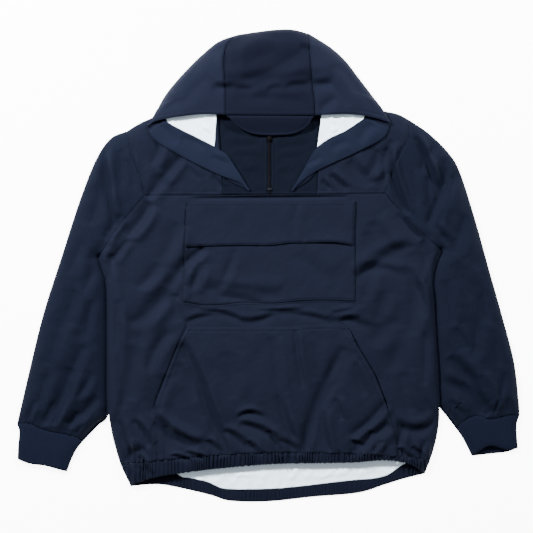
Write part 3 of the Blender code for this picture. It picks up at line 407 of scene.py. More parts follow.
# The lining in the hem's mouth, then the hood's, left and right.
LINING_CREASES = creases(
    (-160, -384, -120, -368, 0, 5, 0.9, 0.7),
    (-120, -386, -96, -372, 3, 4, 0.8, 0.7),
    (-92, -390, -60, -368, 0, 5, 0.9, 0.8),
    (-58, -390, -40, -370, 2, 4, 0.8, 0.8),
    (-30, -392, -26, -366, 0, 4, 0.9, 0.6),
    (-6, -391, 4, -364, 0, 5, 0.8, 0.8),
    (22, -390, 26, -366, -2, 4, 0.8, 0.7),
    (40, -388, 62, -360, 0, 5, 0.9, 0.8),
    (70, -386, 84, -362, 2, 4, 0.8, 0.6),
    (96, -384, 120, -366, 0, 5, 0.9, 0.8),
    (126, -380, 150, -362, 3, 5, 0.8, 0.7),
    (160, -376, 196, -360, 0, 5, 0.9, 0.8),
    (-150, -372, 0, -378, 3, 4, 0.6, 0.5),
    (20, -378, 170, -368, -3, 4, 0.6, 0.5),
    (-160, 262, -120, 246, 0, 6, 1.6, 1.0),
    (-140, 266, -96, 236, 3, 6, 1.4, 1.2),
    (-120, 236, -92, 215, 0, 5, 1.4, 1.0),
    (-104, 262, -92, 226, 2, 5, 1.2, 1.0),
    (-132, 250, -104, 226, 0, 5, 1.0, 1.0),
    (100, 262, 108, 230, 0, 5, 1.2, 1.0),
    (112, 264, 128, 240, 3, 5, 1.4, 1.0),
    (130, 264, 146, 246, 0, 5, 1.4, 1.0),
    (150, 264, 164, 256, 0, 5, 1.2, 1.0),
    (96, 232, 118, 226, 0, 5, 1.2, 0.8),
)
# Folds of the neck insert, across it.
GUARD_CREASES = creases(
    (-80, 232, -10, 226, 3, 7, 1.0, 0.9),
    (-76, 210, -14, 214, -3, 7, 0.9, 0.8),
    (-60, 192, -8, 186, 2, 6, 0.8, 0.6),
    (-50, 166, -12, 162, 0, 5, 0.7, 0.5),
    (14, 232, 84, 240, 3, 7, 1.0, 0.9),
    (12, 206, 78, 214, -3, 8, 1.0, 0.8),
    (14, 184, 62, 190, 2, 6, 0.8, 0.6),
    (16, 160, 48, 164, 0, 5, 0.7, 0.5),
)
# Folds across the hood's facings, left and right.
FACING_CREASES = creases(
    (-196, 246, -160, 212, 4, 8, 1.6, 0.8),
    (-150, 222, -110, 204, 3, 6, 0.9, 0.6),
    (-100, 190, -70, 176, 0, 5, 0.8, 0.6),
    (182, 246, 158, 214, -4, 8, 1.6, 0.8),
    (140, 216, 110, 202, -3, 6, 0.9, 0.6),
    (92, 190, 66, 176, 0, 5, 0.8, 0.6),
)
# Folds of the chest pocket's flap.
FLAP_CREASES = creases(
    (46, 106, 42, 40, 0, 6, 1.2, 1.0),
    (46, 106, 62, 42, 0, 6, 1.0, 0.8),
    (-120, 92, -60, 60, 4, 14, 0.5, 0.4),
    (90, 98, 120, 50, 3, 12, 0.6, 0.4),
)


def spline(knots, steps=10):
    """Points along a smooth line through the knots."""
    knots = np.asarray(knots, float)
    padded = np.vstack([2 * knots[0] - knots[1], knots, 2 * knots[-1] - knots[-2]])
    t = np.linspace(0, 1, steps, endpoint=False)[:, None]
    spans = []
    for a, b, c, d in zip(padded, padded[1:], padded[2:], padded[3:]):
        bend = 2 * a - 5 * b + 4 * c - d + t * (3 * b - a - 3 * c + d)
        spans.append(b + 0.5 * t * (c - a + t * bend))
    return np.vstack(spans + [knots[-1:]])


def joined(*lines):
    """One line from several that follow each other."""
    return np.vstack([lines[0]] + [line[1:] for line in lines[1:]])


def shares_of(line):
    """The share of a line's length at each of its points."""
    place = np.r_[0, np.cumsum(np.linalg.norm(np.diff(line, axis=0), axis=1))]
    return place / place[-1]


def length_of(line):
    """Length of a line."""
    return np.linalg.norm(np.diff(line, axis=0), axis=1).sum()


def along(line, share):
    """The points at these shares of a line's length."""
    return np.stack([np.interp(share, shares_of(line), line[:, axis]) for axis in (0, 1)], axis=-1)


def moved_aside(line, amount):
    """The line moved to its left by amount."""
    run = np.gradient(line, axis=0)
    run /= np.linalg.norm(run, axis=1)[:, None]
    return line + amount * np.stack([-run[:, 1], run[:, 0]], axis=1)


def distance(line, x, y):
    """Distance of each point from a line."""
    x, y = np.asarray(x, float), np.asarray(y, float)
    least = np.full(x.shape, np.inf)
    for (ax, ay), (bx, by) in zip(line[:-1], line[1:]):
        run_x, run_y = bx - ax, by - ay
        share = np.clip(((x - ax) * run_x + (y - ay) * run_y) / (run_x ** 2 + run_y ** 2), 0, 1)
        least = np.minimum(least, np.hypot(x - ax - share * run_x, y - ay - share * run_y))
    return least


def nearest(x, y, *lines):
    """Distance of each point from the nearest of these lines."""
    return np.minimum.reduce([distance(line, x, y) for line in lines])


def swell(depth_in, roll):
    """Quarter-ellipse rise from 0 at an edge to 1 at the roll's width."""
    share = np.clip(depth_in / roll, 0, 1)
    return np.sqrt(1 - (1 - share) ** 2)


def ramp(value, low, high):
    """Smooth step from 0 at low to 1 at high."""
    share = np.clip((value - low) / (high - low), 0, 1)
    return share * share * (3 - 2 * share)


def relief(creases, x, y):
    """Height added by the creases."""
    height = np.zeros(np.shape(x))
    for c in creases:
        run = np.hypot(c.x1 - c.x0, c.y1 - c.y0)
        ux, uy = (c.x1 - c.x0) / run, (c.y1 - c.y0) / run
        ahead = ((x - c.x0) * ux + (y - c.y0) * uy) / run
        inside = np.clip(ahead, 0, 1)
        aside = (y - c.y0) * ux - (x - c.x0) * uy - 4 * c.bow * inside * (1 - inside)
        past_end = np.maximum(np.abs(ahead - 0.5) - 0.5, 0) * run
        fade = np.sqrt(np.clip(4 * inside * (1 - inside), 0, 1)) * np.exp(-(past_end / c.width) ** 2)
        trough = np.exp(-np.abs(aside / c.width) ** 1.4)
        ridge = np.exp(-((aside - 1.8 * c.width) / c.width) ** 2)
        height += fade * (c.lift * ridge - c.depth * trough)
    return height


def held_up(folds, deepest=DEEPEST_FOLD):
    """Folds whose troughs come to rest softly on what lies below."""
    return np.where(folds < 0, deepest * np.tanh(folds / deepest), folds)


def crumple(x, y, size, seed):
    """Uneven waves of about this size, between -1 and 1."""
    chance = np.random.default_rng(seed)
    height = np.zeros(np.shape(x))
    for turn, first, second, stretch in zip(*chance.random((4, 7))):
        turn, wave = 2 * np.pi * turn, size * (0.7 + 0.8 * stretch)
        ahead, aside = x * np.cos(turn) + y * np.sin(turn), y * np.cos(turn) - x * np.sin(turn)
        bend = 1.4 * np.sin(2 * np.pi * (aside / (2.3 * wave) + second))
        height += np.sin(2 * np.pi * (ahead / wave + first) + bend)
    return height / 4


def with_waves(folds, waves, x, y):
    """Folds with the uneven waves of the cloth added."""
    return sum((high * crumple(x, y, size, seed) for high, size, seed in waves), folds)


side_left, side_right = spline(SIDE_LEFT), spline(SIDE_RIGHT)
inner_left, inner_right = spline(INNER_LEFT), spline(INNER_RIGHT)
outer_left, outer_right = spline(OUTER_LEFT), spline(OUTER_RIGHT)
shoulder_left, shoulder_right = spline(SHOULDER_LEFT), spline(SHOULDER_RIGHT)
top_edge = joined(shoulder_left, spline(BACK_NECK), shoulder_right[::-1])
armhole_left, armhole_right = spline(ARMHOLE_LEFT), spline(ARMHOLE_RIGHT)
underarm_left, underarm_right = spline(UNDERARM_LEFT), spline(UNDERARM_RIGHT)
lapel_left, lapel_right = spline(LAPEL_LEFT), spline(LAPEL_RIGHT)
hood_rim = joined(spline(HOOD_RIM_LEFT), spline(HOOD_RIM_CENTRE), spline(HOOD_RIM_RIGHT))
cuff_seam_left, cuff_seam_right = spline(CUFF_SEAM_LEFT), spline(CUFF_SEAM_RIGHT)
neck_left, neck_right = spline(NECK_LEFT), spline(NECK_RIGHT)
facing_left, facing_right = spline(FACING_LEFT), spline(FACING_RIGHT)


def x_on(line, y):
    """x of a line that runs downwards, at these heights."""
    return np.interp(-np.asarray(y, float), -line[:, 1], line[:, 0])


def tuck_lift(x, y):
    """How far the body's side is lifted by the sleeve tucked under it."""
    lifted = np.zeros(np.shape(x))
    for line, side in ((inner_left, 1), (inner_right, -1)):
        past = side * (np.asarray(x, float) - x_on(line, y))
        reach = ramp(-y, -line[0, 1] - 34, -line[0, 1] - 4) * (1 - ramp(-y, 268, 300))
        lifted = np.maximum(lifted, (1 - ramp(past, 5, 22)) * reach)
    return TUCK_LIFT * lifted


def body_rise(x, y):
    """Rise of the body's upper side from its outline, from 0 to 1."""
    outline = joined(outer_left[::-1], top_edge, outer_right)
    return swell(nearest(x, y, side_left, side_right, outline), SIDE_ROLL)


def front_height(x, y):
    """Top of the front and yokes, with the large folds and the small ones."""
    rise = body_rise(x, y)
    hem = HEM_LIFT * ramp(-y, 320, 345)
    low = FRONT_EDGE + tuck_lift(x, y) + hem
    folds = FOLD_SCALE * (BODY_LARGE * relief(CREASES, x, y) + BODY_FINE * relief(FINE_CREASES, x, y))
    folds = with_waves(folds, BODY_WAVES, x, y)
    return low + (CROWN - hem) * rise + held_up(folds) * rise ** 2


def folded_under(depth_in, drop=0.7, reach=1.5):
    """Drop of a panel towards its own sewn edge."""
    return drop * np.exp(-(depth_in / reach) ** 2)


def sewn(depth_in, *rows, deep=0.65):
    """Groove that rows of sewing, at these distances from an edge, pull into the cloth."""
    return sum(deep * np.exp(-((depth_in - row) / 1.1) ** 2) for row in rows)


def patch(bottom, top, left, right):
    """Plan of a four-sided piece; left and right run from bottom to top."""
    def plan(u, v):
        u, v = np.broadcast_arrays(np.asarray(u, float), np.asarray(v, float))
        across, up = u[..., None], v[..., None]
        sides = (1 - across) * along(left, v) + across * along(right, v)
        ends = (1 - up) * along(bottom, u) + up * along(top, u)
        corners = ((1 - across) * ((1 - up) * bottom[0] + up * top[0])
                   + across * ((1 - up) * bottom[-1] + up * top[-1]))
        return sides + ends - corners
    return plan


def raised(plan, height):
    """Plan points (..., 2) with their height as a third number."""
    z = height(plan[..., 0], plan[..., 1])
    return np.concatenate([plan, z[..., None]], axis=-1)


EDGE_STEPS = (0, 0.7, 1.4, 2.2, 3.2, 4.4, 6, 8)    # columns and rows beside a sewn edge


def close_at(width, pitch, left=True, right=True):
    """Shares across a width, pitch apart in the middle and closer beside the sewn edges."""
    steps = np.array(EDGE_STEPS)
    first, last = (steps if left else steps[:1]) / width, 1 - (steps if right else steps[:1])[::-1] / width
    count = max(2, int(round((last[0] - first[-1]) * width / pitch)))
    return np.r_[first, np.linspace(first[-1], last[0], count + 1)[1:-1], last]


def fine_steps(first, last, per, close_to=()):
    """Fractional rows from first to last, per to a coarse one and closer beside the marked ones."""
    places = [np.linspace(first, last, int(round((last - first) * per)) + 1)]
    for mark in close_to:
        beside = mark + np.array((-0.3, -0.18, -0.09, -0.03, 0.03, 0.09, 0.18, 0.3))
        places.append(beside[(beside > first) & (beside < last)])
    places = np.unique(np.concatenate(places).round(4))
    return places[np.r_[True, np.diff(places) > 0.012]]


def linear(hex_colour):
    """Linear red, green and blue of an sRGB hex value."""
    parts = [int(hex_colour[i:i + 2], 16) / 255 for i in (1, 3, 5)]
    return tuple(c / 12.92 if c <= 0.04045 else ((c + 0.055) / 1.055) ** 2.4 for c in parts)


# ---------------------------------------------------------------- settings

def colour_setting(name, description, hex_colour):
    """A colour in the panel."""
    return bpy.props.FloatVectorProperty(name=name, description=description, subtype="COLOR", size=3,
                                         min=0, max=1, default=linear(hex_colour))


def length_setting(name, description, metres):
    """A length in the panel."""
    return bpy.props.FloatProperty(name=name, description=description, default=metres, unit="LENGTH")


def power_setting(name, description, watts):
    """A light's power in the panel."""
    return bpy.props.FloatProperty(name=name, description=description, default=watts, unit="POWER")


class AnorakColours(bpy.types.PropertyGroup):
    """Colours of the cloths and trims"""
    # The shell parts' shades below are matched to how bright each part looks where it lies: partly painted
    # light and shade, partly the turn of the nap.
    body: colour_setting("Body", "Shell cloth of the front, back and flap", "#1c2237")
    yoke: colour_setting("Yokes", "Shell cloth of the yokes", "#1a2035")
    sleeve: colour_setting("Sleeves", "Shell cloth of the sleeves", "#171e33")
    pocket: colour_setting("Pockets", "Shell cloth of the two pockets", "#1d2338")
    hood_side: colour_setting("Hood sides", "Shell cloth of the hood's side panels", "#1d2339")
    hood_centre: colour_setting("Hood centre", "Shell cloth of the hood's centre and brim", "#14192e")
    facing: colour_setting("Facings", "Shell cloth of the hood's facings", "#1f273e")
    # Much darker than the other shell parts: painted shade of the hollow under the brim and between the
    # hood's facings.
    guard: colour_setting("Neck insert", "Shell cloth of the neck insert", "#0d1528")
    hem: colour_setting("Hem", "Shell cloth of the hem casings", "#1a2035")
    knit: colour_setting("Cuffs", "Rib knit of the cuffs", "#20273d")
    lining: colour_setting("Lining", "Lining cloth", "#dcefff")
    # Near black: partly painted shade, as the rows of sewing also stand in for the dark shadow lines along
    # the edges they follow.
    thread: colour_setting("Thread", "Sewing thread", "#05070d")


class AnorakSizes(bpy.types.PropertyGroup):
    """Sizes of the small repeating parts"""
    stitch_length: length_setting("Stitch length", "Length of one stitch", 0.0023)
    stitch_pitch: length_setting("Stitch pitch", "From one stitch to the next", 0.003)
    thread_width: length_setting("Thread width", "Thickness of the sewing thread", 0.0006)
    tooth_pitch: length_setting("Tooth pitch", "From one zip tooth to the next", 0.0016)
    rib_pitch: length_setting("Rib pitch", "From one rib of the cuffs to the next", 0.0026)
    twill_pitch: length_setting("Twill pitch", "From one twill line of the shell to the next", 0.0011)


class AnorakStage(bpy.types.PropertyGroup):
    """Floor, light and camera"""
    floor: colour_setting("Floor", "Colour of the floor", "#f4f4f4")
    key: power_setting("Key light", "Power of the light beyond the left shoulder", 235)
    side: power_setting("Side light", "Power of the light beyond the right shoulder", 110)
    fill: power_setting("Fill light", "Power of the light overhead", 31)
    air: bpy.props.FloatProperty(name="Air", description="Strength of the light from all round",
                                 default=0.18)
    lens: bpy.props.FloatProperty(name="Lens", description="Focal length of the camera, in millimetres",
                                  default=85)


# ---------------------------------------------------------------- materials

def add_node(tree, kind, inputs=None, **settings):
    """A node with these settings; an input is given a value or the socket that feeds it."""
    node = tree.nodes.new(kind)
    for name, value in settings.items():
        setattr(node, name, value)
    for name, value in (inputs or {}).items():
        if isinstance(value, bpy.types.NodeSocket):
            tree.links.new(value, node.inputs[name])
        else:
            node.inputs[name].default_value = value
    return node


WAVE_LENGTH = 0.314     # of a wave texture of scale 1, in metres


def new_material(name):
    """A material with its tree and shader."""
    made = bpy.data.materials.new(name)
    made.use_nodes = True
    tree = made.node_tree
    return made, tree, tree.nodes["Principled BSDF"]


def mixed(tree, share, first, second):
    """Colour between two others."""
    node = add_node(tree, "ShaderNodeMix", data_type="RGBA")
    for socket, value in ((node.inputs[0], share), (node.inputs[6], first), (node.inputs[7], second)):
        if isinstance(value, bpy.types.NodeSocket):
            tree.links.new(value, socket)
        else:
            socket.default_value = value if isinstance(value, float) else (*value[:3], 1)
    return node.outputs[2]


def shade(colour, factor):
    """A colour made darker or lighter by a factor."""
    return tuple(min(1.0, c * factor) for c in colour)


def noise(tree, places, scale, detail=2.0, roughness=0.5):
    """Uneven values over these coordinates; scale is in cells to the metre."""
    node = add_node(tree, "ShaderNodeTexNoise", {"Vector": places, "Scale": scale, "Detail": detail,
                                                 "Roughness": roughness})
    return node.outputs["Fac"]


def own_places(tree):
    """The piece's own coordinates, in metres."""
    return add_node(tree, "ShaderNodeTexCoord").outputs["Object"]


def cloth_places(tree):
    """Lengths along the cloth, in metres."""
    return add_node(tree, "ShaderNodeUVMap", uv_map="cloth").outputs["UV"]


def colour_between(tree, shader, share, colour, low, high):
    """Base colour that wavers between two shades of one colour."""
    wavering = mixed(tree, share, shade(colour, low), shade(colour, high))
    tree.links.new(wavering, shader.inputs["Base Color"])


def bumped(tree, shader, height, strength, distance):
    """Relief too fine to model; distance is its height in metres."""
    bump = add_node(tree, "ShaderNodeBump", {"Height": height, "Strength": strength, "Distance": distance})
    tree.links.new(bump.outputs["Normal"], shader.inputs["Normal"])


def added(tree, first, second):
    """Sum of two values."""
    return add_node(tree, "ShaderNodeMath", {0: first, 1: second}, operation="ADD").outputs["Value"]


def navy_twill(name, colour, pitch):
    """Twill of fine cotton and nylon, dyed navy and brushed: matt, with a faint diagonal grain, a
    trace of bloom where it turns away and slightly uneven dye."""
    made, tree, shader = new_material(name)
    colour = shade(colour, DYE_DEPTH)
    cloth_uv, place = cloth_places(tree), own_places(tree)
    # Twill lines, drawn a little coarser than the 0.6 mm of the thread so that they show.
    turned = add_node(tree, "ShaderNodeMapping", {"Vector": cloth_uv, "Rotation": (0, 0, 0.75)})
    twill = add_node(tree, "ShaderNodeTexWave", {
        "Vector": turned.outputs["Vector"], "Scale": WAVE_LENGTH / pitch, "Distortion": 1.2,
        "Detail": 1.0, "Detail Scale": 1.0})
    slub = noise(tree, cloth_uv, 420.0, 3.0)
    cloud = noise(tree, place, 22.0, 4.0, 0.6)
    even = mixed(tree, cloud, shade(colour, 0.75), shade(colour, 1.25))
    grain = add_node(tree, "ShaderNodeMapRange", {"Value": slub, "From Min": 0.35, "From Max": 0.65})
    tinted = mixed(tree, grain.outputs["Result"], shade(colour, 0.78), shade(colour, 1.22))
    tree.links.new(mixed(tree, 0.5, even, tinted), shader.inputs["Base Color"])
    bumped(tree, shader, added(tree, twill.outputs["Fac"], slub), 0.35, 0.00012)
    shader.inputs["Roughness"].default_value = 0.82
    shader.inputs["Specular IOR Level"].default_value = 0.04
    shader.inputs["Sheen Weight"].default_value = 0.02
    shader.inputs["Sheen Roughness"].default_value = 0.45
    shader.inputs["Sheen Tint"].default_value = (0.55, 0.66, 0.9, 1)
    return made


def rib_knit(name, colour):
    """Rib knit of spun yarn: deeply matt, with the small stitches of each rib."""
    made, tree, shader = new_material(name)
    colour = shade(colour, DYE_DEPTH)
    cloth_uv = cloth_places(tree)
    # Courses of knitting, 1.2 mm apart.
    courses = add_node(tree, "ShaderNodeTexWave", {
        "Vector": cloth_uv, "Scale": WAVE_LENGTH / 0.0012, "Distortion": 2.0, "Detail": 2.0},
        bands_direction="Y")
    fuzz = noise(tree, cloth_uv, 700.0, 4.0)
    colour_between(tree, shader, fuzz, colour, 0.8, 1.2)
    bumped(tree, shader, added(tree, courses.outputs["Fac"], fuzz), 0.12, 0.0002)
    shader.inputs["Roughness"].default_value = 0.95
    shader.inputs["Specular IOR Level"].default_value = 0.03
    return made


def taffeta(name, colour):
    """Lining taffeta: thin and smooth, pale blue, with a plain weave and a soft sheen."""
    made, tree, shader = new_material(name)
    cloth_uv, place = cloth_places(tree), own_places(tree)
    colour_between(tree, shader, noise(tree, place, 45.0, 3.0), colour, 0.93, 1.03)
    bumped(tree, shader, noise(tree, cloth_uv, 900.0), 0.15, 0.0001)
    shader.inputs["Roughness"].default_value = 0.5
    shader.inputs["Sheen Weight"].default_value = 0.1
    return made


def spun_thread(name, colour):
    """Spun polyester thread: matt, and darker than the cloth it sinks into. This near black is partly
    painted shade: the rows also stand in for the dark shadow lines along the edges and grooves they follow.
    """
    made, tree, shader = new_material(name)
    colour_between(tree, shader, noise(tree, own_places(tree), 600.0), colour, 0.75, 1.25)
    shader.inputs["Roughness"].default_value = 0.9
    shader.inputs["Specular IOR Level"].default_value = 0.05
    return made


def zip_polymer(name, hex_colour):
    """Extruded or woven polymer of a zip's coil and tape: nearly black, matt, a little rubbed."""
    made, tree, shader = new_material(name)
    rub = noise(tree, own_places(tree), 300.0)
    colour_between(tree, shader, rub, linear(hex_colour), 0.7, 1.3)
    shader.inputs["Roughness"].default_value = 0.85
    shader.inputs["Specular IOR Level"].default_value = 0.04
    return made


def plated_metal(name, hex_colour, roughness):
    """Cast zinc with a thin plate, tumbled smooth: small scratches break up its gloss."""
    made, tree, shader = new_material(name)
    scratch = noise(tree, own_places(tree), 800.0, 5.0)
    colour_between(tree, shader, scratch, linear(hex_colour), 0.8, 1.15)
    uneven = add_node(tree, "ShaderNodeMapRange", {"Value": scratch, "To Min": roughness * 0.7,
                                                   "To Max": roughness * 1.4})
    tree.links.new(uneven.outputs["Result"], shader.inputs["Roughness"])
    shader.inputs["Metallic"].default_value = 1.0
    return made


def seamless_paper(name, colour):
    """White background paper, matt and even, with a glow of its own that makes it plain white."""
    made, tree, shader = new_material(name)
    colour_between(tree, shader, noise(tree, own_places(tree), 60.0), colour, 0.985, 1.0)
    shader.inputs["Roughness"].default_value = 0.95
    shader.inputs["Specular IOR Level"].default_value = 0.1
    shader.inputs["Emission Color"].default_value = (1, 1, 1, 1)
    shader.inputs["Emission Strength"].default_value = PAPER_GLOW
    return made


# ---------------------------------------------------------------- pieces

def placed(name, data):
    """An object of this data, in the scene."""
    made = bpy.data.objects.new(name, data)
    bpy.context.scene.collection.objects.link(made)
    return made


def cloth_mesh(name, grid, wall, flip=False, closed=False, slit=(0, 0)):
    """Mesh of a fine sheet with its wall grown inwards; UVs are its own lengths in metres.

    flip turns a sheet that would face the ground; closed joins the columns into a tube, slit along
    one column for its first rows.
    """
    rows, columns = grid.shape[:2]
    index = np.arange(rows * columns).reshape(rows, columns)
    after = np.roll(index, -1, axis=1)
    corners = np.stack([index[:-1], after[:-1], after[1:], index[1:]], axis=-1)
    round_it = np.concatenate([grid, grid[:, :1]], axis=1)
    across = np.cumsum(np.linalg.norm(np.diff(round_it, axis=1), axis=-1), axis=1)
    across = np.concatenate([np.zeros((rows, 1)), across], axis=1)
    across -= across[:, columns // 2][:, None]
    down = np.r_[0, np.cumsum(np.linalg.norm(np.diff(grid[:, columns // 2], axis=0), axis=-1))]
    lengths = np.stack([across, np.broadcast_to(down[:, None], across.shape)], axis=-1) * MM
    uvs = np.stack([lengths[:-1, :-1], lengths[:-1, 1:], lengths[1:, 1:], lengths[1:, :-1]], axis=2)
    keep = np.ones(corners.shape[:2], bool)
    keep[:, -1] = closed
    keep[:slit[0], slit[1]] &= not closed
    faces, uvs = corners[keep], uvs[keep]
    if flip:
        faces, uvs = faces[:, ::-1], uvs[:, ::-1]
    sheet = bpy.data.meshes.new(name)
    sheet.from_pydata((grid.reshape(-1, 3) * MM).tolist(), [], faces.tolist())
    sheet.uv_layers.new(name="cloth").data.foreach_set("uv", uvs.ravel())
    sheet.shade_smooth()
    piece = placed(name, sheet)
    solid = piece.modifiers.new("Wall", "SOLIDIFY")
    solid.thickness, solid.offset, solid.use_rim = wall * MM, -1, True
    return made_plain(piece)


def made_plain(piece):
    """The mesh that a piece's modifiers make, on an object without them."""
    graph = bpy.context.evaluated_depsgraph_get()
    mesh = bpy.data.meshes.new_from_object(piece.evaluated_get(graph), preserve_all_data_layers=True,
                                           depsgraph=graph)
    mesh.name = piece.name
    old = piece.data
    piece.modifiers.clear()
    piece.data = mesh
    bpy.data.meshes.remove(old)
    return piece


def dressed(piece, finish, nodes=()):
    """Gives a piece its finish and its place in the part."""
    piece.data.materials.clear()
    piece.data.materials.append(finish)
    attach(piece, "root")
    if nodes:
        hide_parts(*nodes)
    return piece


def shell(name, nodes, slot, finish, grid, wall=WALL, held="laid", rests_on=(), **form):
    """A sheet of cloth that stands for its nodes. Its cut is its own form laid out flat."""
    nodes = (nodes,) if isinstance(nodes, str) else nodes
    piece = dressed(cloth_mesh(name, grid, wall, **form), finish, nodes)
    return piece


def beads_tree():
    """Beads set along lines: stitches, or the teeth of a zip."""
    tree = bpy.data.node_groups.new("Beads along lines", "GeometryNodeTree")
    for name, way, kind in (("Lines", "INPUT", "Geometry"), ("Pitch", "INPUT", "Float"),
                            ("Half sizes", "INPUT", "Vector"), ("Finish", "INPUT", "Material"),
                            ("Beads", "OUTPUT", "Geometry")):
        tree.interface.new_socket(name=name, in_out=way, socket_type="NodeSocket" + kind)
    given = add_node(tree, "NodeGroupInput")
    result = add_node(tree, "NodeGroupOutput")
    curves = add_node(tree, "GeometryNodeMeshToCurve", {"Mesh": given.outputs["Lines"]})
    places = add_node(tree, "GeometryNodeCurveToPoints", {"Curve": curves.outputs["Curve"],
                                                          "Length": given.outputs["Pitch"]}, mode="LENGTH")
    bead = add_node(tree, "GeometryNodeMeshUVSphere", {"Segments": 6, "Rings": 4, "Radius": 1.0})
    beads = add_node(tree, "GeometryNodeInstanceOnPoints", {
        "Points": places.outputs["Points"], "Instance": bead.outputs["Mesh"],
        "Rotation": places.outputs["Rotation"], "Scale": given.outputs["Half sizes"]})
    real = add_node(tree, "GeometryNodeRealizeInstances", {"Geometry": beads.outputs["Instances"]})
    coated = add_node(tree, "GeometryNodeSetMaterial", {"Geometry": real.outputs["Geometry"],
                                                        "Material": given.outputs["Finish"]})
    tree.links.new(coated.outputs["Geometry"], result.inputs["Beads"])
    return tree


def beads(name, lines, pitch, half_sizes, finish):
    """An object of beads along these lines of (x, y, z) points."""
    tree = bpy.data.node_groups.get("Beads along lines") or beads_tree()
    points, edges = [], []
    for line in lines:
        edges += [(len(points) + i, len(points) + i + 1) for i in range(len(line) - 1)]
        points += (np.asarray(line) * MM).tolist()
    wire = bpy.data.meshes.new(name)
    wire.from_pydata(points, edges, [])
    piece = placed(name, wire)
    rows = piece.modifiers.new("Beads", "NODES")
    rows.node_group = tree
    sockets = {item.name: item.identifier for item in tree.interface.items_tree if item.in_out == "INPUT"}
    rows[sockets["Pitch"]] = pitch
    rows[sockets["Half sizes"]] = half_sizes
    rows[sockets["Finish"]] = finish
    return made_plain(piece)


sewing = []     # lines of (x, y, z) points that the thread follows


def sew(line, height, lift=0.15):
    """Adds a row of sewing that follows a plan line over a surface."""
    line = np.asarray(line, float)
    points = along(line, np.linspace(0, 1, max(2, int(length_of(line) / SEWING_STEP) + 1)))
    grid = raised(points, height)
    grid[:, 2] += lift
    sewing.append(grid)


# ---------------------------------------------------------------- body

def front_row(place):
    """Ends, arch and pocket sides of the front at a fractional row."""
    beside = len(UNDERARM_SHARES) - 1
    if place <= beside:
        share = np.interp(place, np.arange(beside + 1), UNDERARM_SHARES)
        sides = [a + share * (b - a) for a, b in zip(YOKE_SEAM[3:5], FRONT_STATIONS[0][3:5])]
        return along(underarm_left, share), along(underarm_right, share), 0, *sides
    ends = beside + np.cumsum([station.steps for station in FRONT_STATIONS])
    columns = zip(*(station[:5] for station in FRONT_STATIONS))
    y, tilt, arch, *sides = [np.interp(place, ends, column) for column in columns]
    left = np.array((x_on(side_left, y), y))
    right = np.array((x_on(side_right, y + tilt), y + tilt))
    return left, right, arch, *sides


def front_plan(rows, columns):
    """Plan of the front at these fractional rows and columns."""
    lines = []
    for place in rows:
        (left, left_y), (right, right_y), arch, pocket_left, pocket_right = front_row(place)
        steps = np.array(SIDE_STEPS) * min(1, (right - pocket_right) / 50)
        xs = np.r_[left + steps, np.linspace(left + steps[-1], pocket_left, 4)[1:-1],
                   np.linspace(pocket_left, pocket_right, 15),
                   (pocket_right + right - steps[-1]) / 2, right - steps[::-1]]
        xs = np.interp(columns, np.arange(len(xs)), xs)
        share = (xs - left) / (right - left)
        ys = left_y + (right_y - left_y) * share + arch * 4 * share * (1 - share)
        lines.append(np.stack([xs, ys], axis=1))
    return np.array(lines)


yoke_seam = front_plan([0], np.linspace(0, LAST_COLUMN, 60))[0]
casing_seam = front_plan([CASING_ROW], np.linspace(0, LAST_COLUMN, 60))[0]


def pocket_side(first, last, column):
    """Side of a pocket, down one grid column of the front."""
    return front_plan(np.linspace(first, last, 24), [column])[:, 0]


kangaroo_left = pocket_side(KANGAROO_TOP, CASING_ROW, POCKET_FIRST)
kangaroo_right = pocket_side(KANGAROO_TOP, CASING_ROW, POCKET_LAST)
kangaroo_head = spline(KANGAROO_HEAD_LINE)
flap_foot, pocket_foot = spline(FLAP_FOOT_LINE), spline(POCKET_FOOT_LINE)
flap_head = front_plan([FLAP_TOP], np.linspace(POCKET_FIRST, POCKET_LAST, 20))[0]
pocket_left = pocket_side(FLAP_TOP + 1, POCKET_FOOT, POCKET_FIRST)[:-1]
pocket_right = pocket_side(FLAP_TOP + 1, POCKET_FOOT, POCKET_LAST)[:-1]


def gathers(x, pitch, turn):
    """Uneven gathers along x, between -1 and 1."""
    drift = 1.6 * np.sin(x / 15 + turn) + 1.1 * np.sin(x / 39 + 2 * turn)
    drift = drift + 0.9 * np.sin(x / 7.3 + 3 * turn)
    strength = 0.7 + 0.3 * np.sin(x / 11 + 4 * turn) * np.sin(x / 27 + turn)
    return strength * np.sin(2 * np.pi * (x / pitch + 0.45 * drift))


def hem_puckers(x, y):
    """Short folds that the elastic pulls into the cloth above the hem's seam."""
    above = distance(casing_seam, x, y)
    short, long = gathers(x, 8.5, 1.3) * np.exp(-above / 9), gathers(x, 19, 2.1) * np.exp(-above / 24)
    return 2.0 * short + 1.6 * long


def body_height(x, y):
    """Top of the front with the puckers of its hem."""
    return front_height(x, y) + hem_puckers(x, y) * body_rise(x, y)


def front_top(x, y):
    """The front itself, which dips beside the pockets' sides."""
    edge = nearest(x, y, yoke_seam, casing_seam)
    slants = nearest(x, y, kangaroo_left, kangaroo_right)
    slants = slants + 9 * (1 - ramp(y, SLANT_FOOT, SLANT_FOOT + 16))
    pockets = nearest(x, y, pocket_left, pocket_right)
    dip = 1.8 * np.exp(-(slants / 2.4) ** 2) + 1.2 * np.exp(-(pockets / 2.2) ** 2)
    return body_height(x, y) - folded_under(edge, 0.5, 1.6) - dip


